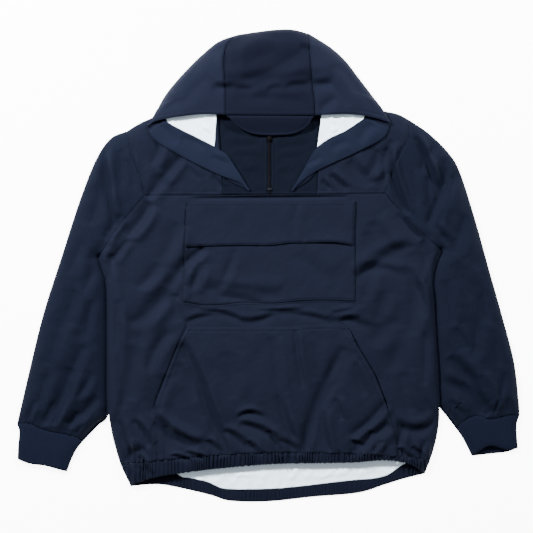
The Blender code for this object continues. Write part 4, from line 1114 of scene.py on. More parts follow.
def kangaroo_height(x, y):
    """The kangaroo pocket: sewn down along its top and lower sides, open along its slants."""
    side, head = nearest(x, y, kangaroo_left, kangaroo_right), distance(kangaroo_head, x, y)
    slant = ramp(y, SLANT_FOOT, SLANT_FOOT + 26) * (1 - ramp(y, SLANT_HEAD - 16, SLANT_HEAD))
    lifted = 2.6 * slant * np.exp(-(side / 10) ** 2)
    grooves = sewn(head, EDGE_ROW, SECOND_ROW) + sewn(side, EDGE_ROW) * (1 - slant)
    grooves = grooves + sewn(side, SLANT_ROW) * slant
    edge = folded_under(np.minimum(np.minimum(side, head), distance(casing_seam, x, y)))
    return body_height(x, y) + POCKET_LIFT + lifted - grooves - edge


def pocket_height(x, y):
    """The chest pocket, sewn down twice along its sides and foot."""
    edge = nearest(x, y, pocket_left, pocket_right, pocket_foot)
    return body_height(x, y) + POCKET_LIFT - sewn(edge, EDGE_ROW, SECOND_ROW) - folded_under(edge)


flap_left = np.array((flap_foot[0], flap_head[0]))
flap_right = np.array((flap_foot[-1], flap_head[-1]))


def flap_height(x, y):
    """The flap: sewn along its head, its foot standing a little off the pocket."""
    foot, head = distance(flap_foot, x, y), distance(flap_head, x, y)
    edge = np.minimum(np.minimum(foot, head), nearest(x, y, flap_left, flap_right))
    lifted = (1.6 + 1.8 * ramp(x, 60, 110) * (1 - ramp(x, 132, 150))) * np.exp(-(foot / 14) ** 2)
    folds = relief(FLAP_CREASES, x, y) * ramp(head, 0, 10)
    grooves = sewn(edge, EDGE_ROW) + sewn(head, SECOND_ROW)
    return body_height(x, y) + 2 * POCKET_LIFT + folds + lifted - grooves - folded_under(edge)


def make_front():
    """The front and what is sewn on it: chest pocket, flap and kangaroo pocket."""
    twill, pocket_twill = finishes["body"], finishes["pocket"]
    pocket_columns = fine_steps(POCKET_FIRST, POCKET_LAST, 8, (POCKET_FIRST, POCKET_LAST))
    columns = fine_steps(0, LAST_COLUMN, 7, (POCKET_FIRST, POCKET_LAST))
    plan = front_plan(fine_steps(0, CASING_ROW, 7, (0, CASING_ROW)), columns)
    shell("Front", "front_body", "shell", twill, raised(plan, front_top)[::-1], rests_on="Back")

    rows = fine_steps(KANGAROO_TOP, CASING_ROW, 9, (KANGAROO_TOP, KANGAROO_TOP + 0.3, CASING_ROW))
    plan = front_plan(rows, pocket_columns)
    head = along(kangaroo_head, (plan[0, :, 0] - plan[0, 0, 0]) / np.ptp(plan[0, :, 0]))
    plan += (head - plan[0]) * (1 - ramp(rows, KANGAROO_TOP, KANGAROO_TOP + 2))[:, None, None]
    shell("Kangaroo_pocket", "kangaroo_pocket", "shell", pocket_twill, raised(plan, kangaroo_height)[::-1],
          rests_on="Front")

    u, v = close_at(300, PITCH)[None, :], close_at(155, PITCH, right=False)[:, None]
    head = front_plan([FLAP_TOP + 1], np.linspace(POCKET_FIRST, POCKET_LAST, 20))[0]
    plan = patch(pocket_foot, head, pocket_left[::-1], pocket_right[::-1])(u, v)
    shell("Chest_pocket", "chest_pocket", "shell", pocket_twill, raised(plan, pocket_height),
          rests_on="Front")
    plan = patch(flap_foot, flap_head, flap_left, flap_right)(u, close_at(76, PITCH)[:, None])
    shell("Chest_flap", "chest_flap", "shell", twill, raised(plan, flap_height), rests_on="Chest_pocket")

    for inset in (EDGE_ROW, SECOND_ROW):
        sew(moved_aside(kangaroo_head, -inset), kangaroo_height)
    for line, side in ((kangaroo_left, 1), (kangaroo_right, -1)):
        sew(moved_aside(line[line[:, 1] > SLANT_FOOT + 12], SLANT_ROW * side), kangaroo_height)
        sew(moved_aside(line[line[:, 1] < SLANT_FOOT + 18], EDGE_ROW * side), kangaroo_height)
    for inset in (EDGE_ROW, SECOND_ROW):
        sew(moved_aside(pocket_left, inset), pocket_height)
        sew(moved_aside(pocket_right, -inset), pocket_height)
        sew(moved_aside(pocket_foot, inset), pocket_height)
        sew(moved_aside(flap_head, -inset), flap_height)
    for line, side in ((flap_foot, 1), (flap_left, -1), (flap_right, 1)):
        sew(moved_aside(line, EDGE_ROW * side), flap_height)


def yoke_height(x, y):
    """Top of the yokes: their lower edge is sewn down twice, the seams round them once."""
    foot, armhole = distance(yoke_seam, x, y), nearest(x, y, armhole_left, armhole_right)
    edge = np.minimum(np.minimum(foot, armhole), nearest(x, y, neck_left, neck_right))
    top = front_height(x, y) + 0.3 - sewn(foot, EDGE_ROW, SECOND_ROW)
    return top - sewn(armhole, SEAM_ROW) - folded_under(edge, 0.5, 1.6)


def make_yokes():
    """Left and right yokes, from the yoke seam up to the shoulder line."""
    u, v = close_at(150, 2.6)[None, :], close_at(130, 2.6)[:, None]
    for side, armhole, shoulder, neck, neck_x, mirror in (
            ("left", armhole_left, shoulder_left, neck_left, -86, 1),
            ("right", armhole_right, shoulder_right, neck_right, 88, -1)):
        up = armhole[::-1].copy()
        inner = neck.copy()
        inner[-1] = shoulder[-1]
        plan = patch(np.array((up[0], inner[0])), shoulder, up, inner)
        shell("Yoke_" + side, "front_yoke_" + side, "shell", finishes["yoke"],
              raised(plan(u, v), yoke_height), flip=mirror < 0, rests_on="Back")
        foot = yoke_seam[(yoke_seam[:, 0] - neck_x) * mirror < 0]
        for inset in (EDGE_ROW, SECOND_ROW):
            sew(foot + (0, inset), yoke_height)
        sew(moved_aside(armhole, SEAM_ROW * mirror), yoke_height)


# ---------------------------------------------------------------- neck and zip

ZIP_X, ZIP_HALF, NECK_TOP, NECK_FOOT = 2.0, 3.0, 268, 125.5
SLIDER_Y, STOP_Y = 221, 133


def neck_height(x, y):
    """Top of the neck insert."""
    return front_height(x, y) - 1.2 * ramp(y, 130, 160)


def guard_height(x, y):
    """The insert's halves: folded in beside the zip, sewn down there and to the yokes."""
    zip_side = np.abs(x - ZIP_X) - ZIP_HALF - GAP
    folds = relief(GUARD_CREASES, x, y) * ramp(zip_side, 2, 16)
    edge = np.minimum(zip_side, nearest(x, y, neck_left, neck_right))
    top = neck_height(x, y) + folds + 0.5 * np.exp(-(zip_side / 8) ** 2)
    return top - sewn(zip_side, ZIP_ROW) - folded_under(edge, 0.8, 1.4)


def make_neck():
    """The neck insert's halves and the zip between them, with its slider and bottom stop."""
    ys = NECK_FOOT + (NECK_TOP - NECK_FOOT) * close_at(142, 2.4, right=False)
    for side, neck, mirror in (("left", neck_left, 1), ("right", neck_right, -1)):
        outer = np.interp(ys, neck[:, 1], neck[:, 0]) + mirror * GAP
        inner = ZIP_X - mirror * (ZIP_HALF + GAP)
        share = close_at(82, 2.4)[None, :]
        xs = outer[:, None] * (1 - share) + inner * share
        plan = np.stack([xs, np.broadcast_to(ys[:, None], xs.shape)], axis=-1)
        # The insert's darker shell colour is painted shade of its hollow under the brim.
        shell("Neck_insert_" + side, "neck_guard_" + side, "shell_dark", finishes["guard"],
              raised(plan, guard_height), flip=mirror < 0, rests_on="Back")
        row = np.array(((inner - mirror * ZIP_ROW, NECK_FOOT), (inner - mirror * ZIP_ROW, NECK_TOP)))
        sew(row, guard_height)
    ys = np.linspace(NECK_FOOT, NECK_TOP, 72)
    xs = ZIP_X + ZIP_HALF * np.array((-1, -0.5, 0, 0.5, 1))
    chain = np.stack(np.broadcast_arrays(xs[None, :], ys[:, None]), axis=-1)
    tape = cloth_mesh("Zip_tape", raised(chain, neck_height), 0.8)
    dressed(tape, finishes["tape"], ("zip_chain",))
    sizes = bpy.context.scene.anorak_sizes
    rows = []
    for aside in (-0.7, 0.7):
        ys = np.linspace(NECK_FOOT + 1 + 0.4 * aside, NECK_TOP - 6, 60)
        grid = raised(np.stack([np.full(60, ZIP_X + aside), ys], axis=1), neck_height)
        grid[:, 2] += 0.7
        rows.append(grid)
    teeth = beads("Zip_teeth", rows, sizes.tooth_pitch, (0.0011, 0.0007, 0.00055), finishes["coil"])
    dressed_beads(teeth)
    make_slider()
    make_stop()


def dressed_beads(piece):
    """Gives beads, which have their finish already, their place in the part."""
    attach(piece, "root")


def on_chain(y, thickness):
    """Centre of a metal part that rides on the zip's teeth."""
    tops = [float(neck_height(ZIP_X, y + step)) for step in (-5, 0, 5)]
    return np.array((ZIP_X, y, max(tops) + 0.8 + GAP + thickness / 2))


def block(size, centre, edge, taper=1.0):
    """A rounded block; taper narrows its lower end (towards -Y)."""
    mesh = bmesh.new()
    bmesh.ops.create_cube(mesh, size=1)
    for vert in mesh.verts:
        if vert.co.y < 0:
            vert.co.x *= taper
        vert.co = [(c * s + at) * MM for c, s, at in zip(vert.co, size, centre)]
    bmesh.ops.bevel(mesh, geom=list(mesh.edges), offset=edge * MM, segments=3, profile=0.5, affect="EDGES")
    return mesh


def meshed(name, *parts):
    """One object of several bmesh parts."""
    whole = bmesh.new()
    for part in parts:
        spare = bpy.data.meshes.new("part")
        part.to_mesh(spare)
        part.free()
        whole.from_mesh(spare)
        bpy.data.meshes.remove(spare)
    data = bpy.data.meshes.new(name)
    whole.to_mesh(data)
    whole.free()
    data.shade_smooth()
    data.set_sharp_from_angle(angle=0.7)
    return placed(name, data)


def make_slider():
    """The slider's body, with the crown its pull would hang from."""
    at = on_chain(SLIDER_Y, 3.4)
    body = block((8.2, 9.6, 1.5), at - (0, 0, 0.9), 0.6, 0.72)
    crown = block((2.2, 6.4, 1.9), at + (0, 0, 0.6), 0.7)
    dressed(meshed("Zip_slider", body, crown), finishes["brass"], ("zip_slider",))


def make_stop():
    """The bottom stop, a crimped bar."""
    at = on_chain(STOP_Y, 1.6)
    bar = block((7.8, 3.8, 1.5), at, 0.5)
    dressed(meshed("Zip_stop", bar), finishes["nickel"], ("zip_stop",))


# ---------------------------------------------------------------- back and hem

def under_height(x, y):
    """Underside of the back: flat on the ground, with shallow dents where the cloth lies in folds."""
    dents = np.clip(crumple(x, y, 80, 11) - 0.1, 0, 1) + np.clip(crumple(x, y, 30, 12) - 0.3, 0, 1)
    return tuck_lift(x, y) + 0.35 * dents


def make_back():
    """The back, and its lining where the hem's mouth shows it."""
    casing_top = spline(BACK_CASING_TOP)
    left, right = side_left[::-1], side_right[::-1]
    left = np.vstack([casing_top[:1], left[left[:, 1] > casing_top[0, 1] + 3]])
    right = np.vstack([casing_top[-1:], right[right[:, 1] > casing_top[-1, 1] + 3]])
    armpits, yoke = np.array((left[-1], right[-1])), np.array((underarm_left[0], underarm_right[0]))
    u = close_at(580, BACK_PITCH)[None, :]
    below = patch(casing_top, armpits, left, right)(u, close_at(380, BACK_PITCH, right=False)[:, None])
    beside = patch(armpits, yoke, underarm_left[::-1], underarm_right[::-1])(
        u, np.linspace(0, 1, 16)[1:-1, None])
    above = patch(yoke, top_edge, armhole_left[::-1], armhole_right[::-1])(
        u, close_at(130, BACK_PITCH, left=False)[:, None])
    plan = np.concatenate([below, beside, above])
    shell("Back", "back_body", "shell", finishes["body"], raised(plan, under_height), flip=True,
          rests_on="Studio_floor")

    share = np.linspace(0.02, 0.98, 300)
    foot = along(casing_top, share)
    foot[:, 1] += 9 * (1 - ramp(1 - share, 0.03, 0.12)) + 16 * (1 - ramp(share, 0.14, 0.2)) - 0.8
    plan = foot[None] + np.linspace(0, 1, 36)[:, None, None] * (0, 62)
    shell("Back_lining", "back_lining", "lining", finishes["lining"], raised(plan, back_lining_height),
          LINING, rests_on="Back")


def back_lining_height(x, y):
    """Top of the crinkled lining that lies on the back."""
    folds = with_waves(1.5 * relief(LINING_CREASES, x, y), HEM_LINING_WAVES, x, y)
    return tuck_lift(x, y) + WALL + GAP + LINING + 0.5 + 0.6 * np.clip(folds, -0.7, 3.0)


def strip_plan(foot, head, columns, rows):
    """Plan of a strip between two lines."""
    u, v = np.linspace(0, 1, columns)[None, :], np.linspace(0, 1, rows)[:, None, None]
    return (1 - v) * along(foot, u) + v * along(head, u)


def casing_relief(plan, pitch, turn, deep):
    """Gathers across an elastic casing, deepest along its middle, with its two rows of sewing."""
    share = np.linspace(0, 1, len(plan))[:, None]
    lean = plan[..., 0] + 1.6 * np.sin(plan[..., 0] / 23 + turn) * share
    belly = 0.55 + 0.45 * np.sin(np.pi * share)
    tight = 1 + 0.45 * np.sin(plan[..., 0] / 31 + turn) * np.sin(plan[..., 0] / 13)
    fine = 0.35 * gathers(plan[..., 0], pitch * 0.47, turn + 2)
    gathered = deep * belly * tight * (gathers(lean, pitch, turn) + fine)
    from_foot, from_head = share * CASING_WIDTH, (1 - share) * CASING_WIDTH
    edges = folded_under(from_foot, 0.7, 1.8) + folded_under(from_head, 0.5, 1.6)
    return gathered - edges - 0.5 * np.exp(-((from_foot - 3.4) / 1.3) ** 2)


def make_hem():
    """The gathered casings round the hem, front and back."""
    head = casing_seam - (0, GAP)
    plan = strip_plan(spline(FRONT_HEM), head, CASING_COLUMNS, CASING_ROWS)
    scallops = 0.8 * gathers(plan[..., 0], 7.4, 0.6)
    plan[..., 1] += scallops * np.linspace(1, 0, CASING_ROWS)[:, None]
    grid = raised(plan, front_casing_height)
    grid[..., 2] += casing_relief(plan, 6.0, 1.3, 2.0)
    shell("Front_hem_casing", "hem_casing_front", "shell", finishes["hem"], grid, wall=1.0, held="gathered",
          rests_on="Back_lining")
    foot, top = spline(BACK_HEM), spline(BACK_CASING_TOP)
    plan = strip_plan(foot, top + (0, 1.5), CASING_COLUMNS, CASING_ROWS)
    grid = raised(plan, lambda x, y: np.full(np.shape(x), 2.1))
    grid[..., 2] += np.clip(casing_relief(plan, 5.6, 0.4, 0.8), -0.9, 2.4)
    shell("Back_hem_casing", "hem_casing_back", "shell", finishes["hem"], grid, wall=1.0, held="gathered",
          rests_on="Studio_floor")


def front_casing_height(x, y):
    """The front casing carries on from the front, clear of the back casing."""
    return np.maximum(front_height(x, y), WALL + HEM_LIFT + GAP + GATHER_DEPTH + 1)


# ---------------------------------------------------------------- sleeves

ARMHOLE_COLUMNS = np.r_[0, 3, 9, 18, np.linspace(30, 130, 10)] / 130
CUFF_COLUMNS = np.array((0, 0.015, 0.05, 0.12, 0.22, 0.34, 0.46, 0.58, 0.7, 0.8, 0.89, 0.95, 0.985, 1))
TUBE_COLUMNS = np.arange(len(CUFF_COLUMNS))


def sleeve_height(toward_body, body_side, outer, inner, seam, armhole, underarm):
    """Top of a sleeve, flattened where the body's side lies on it and where the cuff gathers it."""
    shown = joined(body_side[body_side[:, 1] > TUCK_END + 15], inner[inner[:, 1] < TUCK_END])

    def height(x, y):
        beyond = (toward_body * (x - x_on(shown, y)) > 0) & (y < shown[0, 1])
        inward = np.where(beyond, 0, np.maximum(distance(shown, x, y) - 4, 0))
        rise = swell(np.minimum(distance(outer, x, y), inward), SIDE_ROLL)
        near = distance(seam, x, y)
        crown = (SLEEVE_TOP - SLEEVE_EDGE) * (1 - 0.35 * (1 - ramp(near, 0, 34)))
        large, fine = relief(CREASES, x, y), relief(FINE_CREASES, x, y)
        folds = FOLD_SCALE * (SLEEVE_LARGE * large + SLEEVE_FINE * fine)
        folds = with_waves(folds, SLEEVE_WAVES, x, y)
        folds = folds + 0.8 * gathers(x - 0.3 * y, 8, 0.7) * np.exp(-near / 12)
        edge = np.minimum(near, nearest(x, y, armhole, underarm))
        return SLEEVE_EDGE + crown * rise + held_up(folds) * rise ** 2 - folded_under(edge, 1.1, 2.0)
    return height


def tube(name, nodes, slot, finish, top, under, edge, flip, open_rows=0):
    """A flattened tube from its raised top and the plan of its flat underside."""
    top[:, 0, 2] = edge
    top[open_rows:, -1, 2] = edge
    z = 0.3 * np.clip(crumple(under[..., 0], under[..., 1], 40, 8) - 0.2, 0, 1)
    under = np.concatenate([under, z[..., None]], axis=-1)[:, ::-1]
    return shell(name, nodes, slot, finish, np.concatenate([top, under], axis=1), closed=True, flip=flip,
                 slit=(open_rows, top.shape[1] - 1), rests_on="Studio_floor")


def make_sleeve(side, armhole, underarm, outer, inner, seam, body_side, toward_body):
    """A sleeve from its armhole to the cuff seam."""
    biceps = np.array((outer[BICEPS_POINT], inner[0]))
    armhole = moved_aside(armhole, SEAM_TURN * toward_body)
    underarm = moved_aside(underarm, SEAM_TURN * toward_body)
    upper = patch(armhole, biceps, np.vstack([armhole[:1], outer[1:BICEPS_POINT + 1]]), underarm)
    lower = patch(biceps, seam, outer[BICEPS_POINT:], inner)
    upper_rows = close_at(165, 3, right=False)
    lower_rows = close_at(330, 2.7, left=False)[1:]
    edge_points, outer_points = along(inner, lower_rows), along(outer[BICEPS_POINT:], lower_rows)
    hidden = np.minimum(distance(body_side, edge_points[:, 0], edge_points[:, 1]), 34)
    hidden = np.where(edge_points[:, 1] > TUCK_END, hidden, 0)
    width = np.linalg.norm(edge_points - outer_points, axis=1)
    columns = np.array([
        np.r_[0, 1.5 / w, 6 / w, 15 / w, np.linspace(28 / w, 1 - (t + 28) / w, 6),
              1 - (t + 14) / w, 1 - (t + 4) / w, 1 - 2 / w, 1] for w, t in zip(width, hidden)])
    end = ramp(lower_rows, 0.92, 1)[:, None]
    lower_columns = columns * (1 - end) + end * CUFF_COLUMNS
    upper_columns = ARMHOLE_COLUMNS + upper_rows[:, None] * (columns[0] - ARMHOLE_COLUMNS)
    fine = np.unique(np.r_[np.linspace(0, 3, 13), np.linspace(3, 10, 50), np.linspace(10, 13, 13)])
    columns = np.concatenate([upper_columns, lower_columns])
    columns = np.array([np.interp(fine, TUBE_COLUMNS, row) for row in columns])
    height = sleeve_height(toward_body, body_side, outer, inner, seam, armhole, underarm)
    count = len(upper_rows)
    plan = np.concatenate([upper(columns[:count], upper_rows[:, None]),
                           lower(columns[count:], lower_rows[:, None])])
    nodes = ("upper_sleeve_" + side, "lower_sleeve_" + side)
    tube("Sleeve_" + side, nodes, "shell", finishes["sleeve"], raised(plan, height), plan[:, 2:-2:3],
         SLEEVE_EDGE / 2, toward_body > 0, open_rows=count - 1)


def make_sleeves():
    """Both sleeves."""
    make_sleeve("left", armhole_left, underarm_left, outer_left, inner_left, cuff_seam_left,
                side_left, 1)
    make_sleeve("right", armhole_right, underarm_right, outer_right, inner_right, cuff_seam_right,
                side_right, -1)


def make_cuff(side, seam, outer, inner, mouth, lip, toward_body):
    """A rib-knit cuff: ribs run along it, drawn in a little at the seam and at the mouth."""
    seam = moved_aside(seam, SEAM_TURN * toward_body)
    outer, inner = np.vstack([seam[:1], outer[1:]]), np.vstack([seam[-1:], inner[1:]])
    width = length_of(seam)
    ribs = round(width / (bpy.context.scene.anorak_sizes.rib_pitch / MM))
    u = np.unique(np.r_[np.linspace(0, 1, 6 * ribs + 1), 0.004, 0.996])[None, :]
    v = np.r_[0, 0.02, 0.05, np.linspace(0.1, 0.9, 10), 0.95, 0.98, 1][:, None]
    top, under = patch(seam, lip, outer, inner)(u, v), patch(seam, mouth, outer, inner)(u[:, ::6], v)

    def height(x, y):
        inward = nearest(x, y, outer, inner)
        ends = folded_under(distance(seam, x, y), 0.8, 2) + folded_under(distance(lip, x, y), 0.9, 1.8)
        return CUFF_EDGE + (CUFF_TOP - CUFF_EDGE) * swell(inward, 24) - ends
    grid = raised(top, height)
    grid[..., 2] += RIB_RELIEF * np.cos(2 * np.pi * ribs * u) * ramp(np.minimum(u, 1 - u), 0, 0.03)
    tube("Cuff_" + side, ("cuff_" + side,), "rib_knit", finishes["knit"], grid, under, CUFF_EDGE / 2,
         toward_body > 0)


def make_cuffs():
    """Both cuffs; the right one's upper layer is drawn up at its mouth."""
    mouth = spline(CUFF_MOUTH_LEFT)
    make_cuff("left", cuff_seam_left, spline(CUFF_OUTER_LEFT), spline(CUFF_INNER_LEFT), mouth, mouth, 1)
    make_cuff("right", cuff_seam_right, spline(CUFF_OUTER_RIGHT), spline(CUFF_INNER_RIGHT),
              spline(CUFF_MOUTH_RIGHT), spline(CUFF_LIP_RIGHT), -1)


# ---------------------------------------------------------------- hood

seam_left, seam_right = spline(HOOD_SEAM_LEFT), spline(HOOD_SEAM_RIGHT)
hood_front = joined(spline(HOOD_FRONT_LEFT), spline(HOOD_FRONT_CENTRE), spline(HOOD_FRONT_RIGHT))


def hood_rest(x, y):
    """Underside of the hood: on the ground above the shoulders and at the back of the neck, and on
    the yokes below the shoulders."""
    shoulder_y = np.interp(x, top_edge[:, 0], top_edge[:, 1])
    below = distance(top_edge, x, y) * np.where(y < shoulder_y, 1, -1)
    neck = ramp(-np.abs(x), -88, -64) * ramp(y, 272, 292)
    return HOOD_REST * swell(below + 14, SIDE_ROLL + 14) * (1 - neck)


def hood_form(x, y):
    """Top of the spread hood without its seams."""
    rise = swell(distance(hood_rim, x, y), HOOD_ROLL)
    edge = hood_rest(x, y) + HOOD_EDGE
    folds = FOLD_SCALE * (relief(HOOD_CREASES, x, y) + HOOD_FINE * relief(HOOD_FINE_CREASES, x, y))
    folds = with_waves(folds, HOOD_WAVES, x, y)
    return edge + np.maximum(HOOD_TOP - edge, 4) * rise + folds * rise ** 2


def hood_height(x, y):
    """Top of the spread hood: a band is hemmed along its front edge, and its seams are sewn flat."""
    front = distance(hood_front, x, y)
    seam = nearest(x, y, seam_left, seam_right)
    band = 0.35 * (1 - ramp(front, BAND_ROW - 0.5, BAND_ROW + 1))
    grooves = sewn(front, BAND_ROW) + sewn(seam, SEAM_ROW, deep=0.2)
    return hood_form(x, y) + band - grooves - folded_under(front, 1.1, 2) - folded_under(seam, 1.1, 1.8)


def hood_panel(name, node, finish, upper, lower, width, inner_edges):
    """A hood panel: its upper layer from the front edge to the outline, and its lower layer back."""
    u = close_at(width, 3, *inner_edges)[None, :]
    rim_rows = 1 - np.array((8, 5, 3, 1.5, 0.6, 0)) / HOOD_DEPTH
    v = np.r_[close_at(HOOD_DEPTH, 3, right=False)[:-4], rim_rows][:, None]
    w = np.r_[0.02, 0.05, np.linspace(0.12, 1, 24)][:, None]
    grid = np.concatenate([raised(upper(u, v), hood_height), raised(lower(u, w), hood_rest)])
    shell(name, node, "shell", finish, grid, held="folded", rests_on="Yoke_left")


def make_hood():
    """The hood's three panels."""
    rim_left, rim_centre, rim_right = [
        spline(rim) for rim in (HOOD_RIM_LEFT, HOOD_RIM_CENTRE, HOOD_RIM_RIGHT)]
    foot_left, foot_centre, foot_right = [
        spline(foot) for foot in (HOOD_FOOT_LEFT, HOOD_FOOT_CENTRE, HOOD_FOOT_RIGHT)]
    aside = np.array((1.2 * GAP, 0))
    back_left = np.array((seam_left[-1], foot_centre[0]))
    back_right = np.array((seam_right[-1], foot_centre[-1]))
    front = spline(HOOD_FRONT_LEFT)
    hood_panel("Hood_side_left", "hood_side_left", finishes["hood_side"],
               patch(front, rim_left, np.array((front[0], rim_left[0])), seam_left - aside),
               patch(rim_left, foot_left, lapel_left, back_left - aside), 170, (False, True))
    hood_panel("Hood_centre", "hood_centre_panel", finishes["hood_centre"],
               patch(spline(HOOD_FRONT_CENTRE), rim_centre, seam_left + aside, seam_right - aside),
               patch(rim_centre, foot_centre, back_left + aside, back_right - aside), 150, (True, True))
    front = spline(HOOD_FRONT_RIGHT)
    hood_panel("Hood_side_right", "hood_side_right", finishes["hood_side"],
               patch(front, rim_right, seam_right + aside, np.array((front[-1], rim_right[-1]))),
               patch(rim_right, foot_right, back_right + aside, lapel_right), 170, (True, False))
    sew(moved_aside(hood_front, BAND_ROW), hood_height)
    for line in (seam_left, seam_right):
        for side in (1, -1):
            sew(moved_aside(line, SEAM_ROW * side)[:-4], hood_height)


def inside_height(wall):
    """Top of a layer that lies inside the turned-out hood."""
    return lambda x, y: hood_rest(x, y) + WALL + DRAPE + wall


def facing_height(x, y):
    """The facings, rolled along both edges and hollow near the hood's corners."""
    outer, inner = nearest(x, y, lapel_left, lapel_right), nearest(x, y, facing_left, facing_right)
    folds = with_waves(2 * relief(FACING_CREASES, x, y), FACING_WAVES, x, y)
    roll = 1.6 * swell(outer, 9) - 1.6
    return inside_height(WALL)(x, y) + 0.5 + roll + np.maximum(folds, -2.2) - sewn(inner, 2, deep=0.35)


def inner_lining_height(x, y):
    """Top of the hood's lining where it shows beside the facings."""
    folds = with_waves(1.7 * relief(LINING_CREASES, x, y), HOOD_LINING_WAVES, x, y)
    return inside_height(LINING)(x, y) + np.maximum(folds, -0.5)


def make_facings():
    """The navy facings of the hood's front edges and the lining beside them."""
    for side, outer, inner, lining, mirror in (
            ("left", lapel_left, facing_left, LINING_LEFT, 1),
            ("right", lapel_right, facing_right, LINING_RIGHT, -1)):
        start = along(outer, np.linspace(0.04, 1, 40))[::-1]
        up = inner[::-1]
        u, v = close_at(34, 2)[None, :], close_at(230, 2.4, right=False)[:, None]
        plan = patch(np.array((start[0], up[0])), np.array((start[-1], up[-1])), start, up)
        shell("Hood_facing_" + side, "hood_facing_" + side, "shell", finishes["facing"],
              raised(plan(u, v), facing_height), flip=mirror < 0, rests_on="Hood_side_" + side)
        low, high = np.array(lining, float)
        edge = moved_aside(inner, 2 * GAP * mirror)
        edge = edge[(edge[:, 1] < low[1] - 14) & (edge[:, 1] > 206)]
        plan = patch(edge, np.array((low, high)), np.array((edge[0], low)), np.array((edge[-1], high)))
        plan = plan(np.linspace(0, 1, 60)[None, :], np.linspace(0, 1, 36)[:, None])
        shell("Hood_lining_" + side, "hood_lining_" + side, "lining", finishes["lining"],
              raised(plan, inner_lining_height), LINING, flip=mirror < 0, rests_on="Hood_side_" + side)


brim_edge = spline(BRIM_EDGE)
brim_head = np.array((brim_edge[0], brim_edge[-1])) - (0, GAP)


def brim_height(x, y):
    """Top of the brim, from the hood's front edge down to its own edge, sewn round once."""
    hood_edge = hood_form(x, np.full(np.shape(y), 263.0))
    drop = ramp(-y, -262, -225)
    rim, head = distance(brim_edge, x, y), distance(brim_head, x, y)
    top = hood_edge * (1 - drop) + BRIM_LOW * drop + 0.5 * np.exp(-(rim / 3) ** 2)
    return top - sewn(rim, BRIM_ROW, deep=0.4) - folded_under(rim, 0.6, 1) - folded_under(head, 1.2, 2)


def make_brim():
    """The half-round brim, stiff and slightly domed, from the hood's front edge."""
    u, v = close_at(170, 2)[None, :], close_at(34, 1.2)[:, None]
    plan = patch(brim_edge, brim_head, np.array((brim_edge[0], brim_head[0])),
                 np.array((brim_edge[-1], brim_head[-1])))
    shell("Brim", "hood_brim", "shell", finishes["hood_centre"], raised(plan(u, v), brim_height),
          wall=BRIM_WALL, held="stretched", rests_on="Hood_centre")
    sew(moved_aside(brim_edge, BRIM_ROW)[3:-3], brim_height)


def make_sewing():
    """All rows of sewing that show."""
    sizes = bpy.context.scene.anorak_sizes
    half = (sizes.thread_width / 2, sizes.thread_width / 2, sizes.stitch_length / 2)
    rows = beads("Topstitching", sewing, sizes.stitch_pitch, half, finishes["thread"])
    dressed_beads(rows)


# ---------------------------------------------------------------- stage

# Soft lights: the setting that holds its power, its side, and where it stands, all in metres.
Lamp = namedtuple("Lamp", "name power side place")
LAMPS = (
    Lamp("Key_light", "key", 0.3, (-1.35, 1.2, 1.35)),
    Lamp("Side_light", "side", 0.3, (1.3, 1.3, 1.3)),
    Lamp("Fill_light", "fill", 2.4, (0, 0.1, 2.6)),
)


def make_stage():
    """White paper under the garment, a light beyond each shoulder and a wide one overhead, and a
    camera straight above."""
    settings = bpy.context.scene.anorak_stage
    mesh = bmesh.new()
    bmesh.ops.create_grid(mesh, x_segments=1, y_segments=1, size=6)
    data = bpy.data.meshes.new("Studio_floor")
    mesh.to_mesh(data)
    mesh.free()
    data.materials.append(seamless_paper("Seamless paper, white", settings.floor))
    floor = placed("Studio_floor", data)
    floor.location.z = -0.0004
    for lamp in LAMPS:
        lit = bpy.data.lights.new(lamp.name, "AREA")
        lit.energy, lit.shape, lit.size = getattr(settings, lamp.power), "SQUARE", lamp.side
        light = placed(lamp.name, lit)
        light.location = lamp.place
        light.rotation_euler = (-Vector(lamp.place)).to_track_quat("-Z", "Y").to_euler()
    world = bpy.data.worlds.new("Studio_air")
    world.use_nodes = True
    air = world.node_tree.nodes["Background"].inputs
    air["Color"].default_value, air["Strength"].default_value = (0.9, 0.94, 1.0, 1), settings.air
    bpy.context.scene.world = world
    lens = bpy.data.cameras.new("Camera")
    lens.lens, lens.sensor_width = settings.lens, SENSOR_WIDTH
    camera = placed("Camera", lens)
    height = FRAME_WIDTH * settings.lens / SENSOR_WIDTH + CAMERA_PLANE
    camera.location = (CAMERA_X * MM, CAMERA_Y * MM, height * MM)
    bpy.context.scene.camera = camera


# ---------------------------------------------------------------- add-on

finishes = {}


def make_finishes():
    """Mixes every finish. The shell's parts differ a little in shade: partly painted light and shade,
    matched to how bright each part looks where it lies, and partly because their nap is turned.
    """
    colours, sizes = bpy.context.scene.anorak_colours, bpy.context.scene.anorak_sizes
    for part in ("body", "yoke", "sleeve", "pocket", "hood_side", "hood_centre", "facing", "guard", "hem"):
        finishes[part] = navy_twill("Brushed cotton twill, piece-dyed (" + part.replace("_", " ") + ")",
                                    getattr(colours, part), sizes.twill_pitch)
    finishes["knit"] = rib_knit("Rib knit, cotton and elastane", colours.knit)
    finishes["lining"] = taffeta("Polyester taffeta, woven", colours.lining)
    finishes["thread"] = spun_thread("Spun polyester thread", colours.thread)
    finishes["tape"] = zip_polymer("Woven polyester zip tape", "#07080c")
    finishes["coil"] = zip_polymer("Nylon coil, extruded", "#0c0911")
    finishes["brass"] = plated_metal("Zinc slider, antique brass plate", "#0f0e0e", 0.55)
    finishes["nickel"] = plated_metal("Zinc stop, nickel plate", "#1c1d22", 0.5)


class ANORAK_OT_finishes(bpy.types.Operator):
    """Mixes the procedural materials of every cloth and trim"""
    bl_idname = "anorak.finishes"
    bl_label = "Mix finishes"

    def execute(self, context):
        make_finishes()
        return {"FINISHED"}


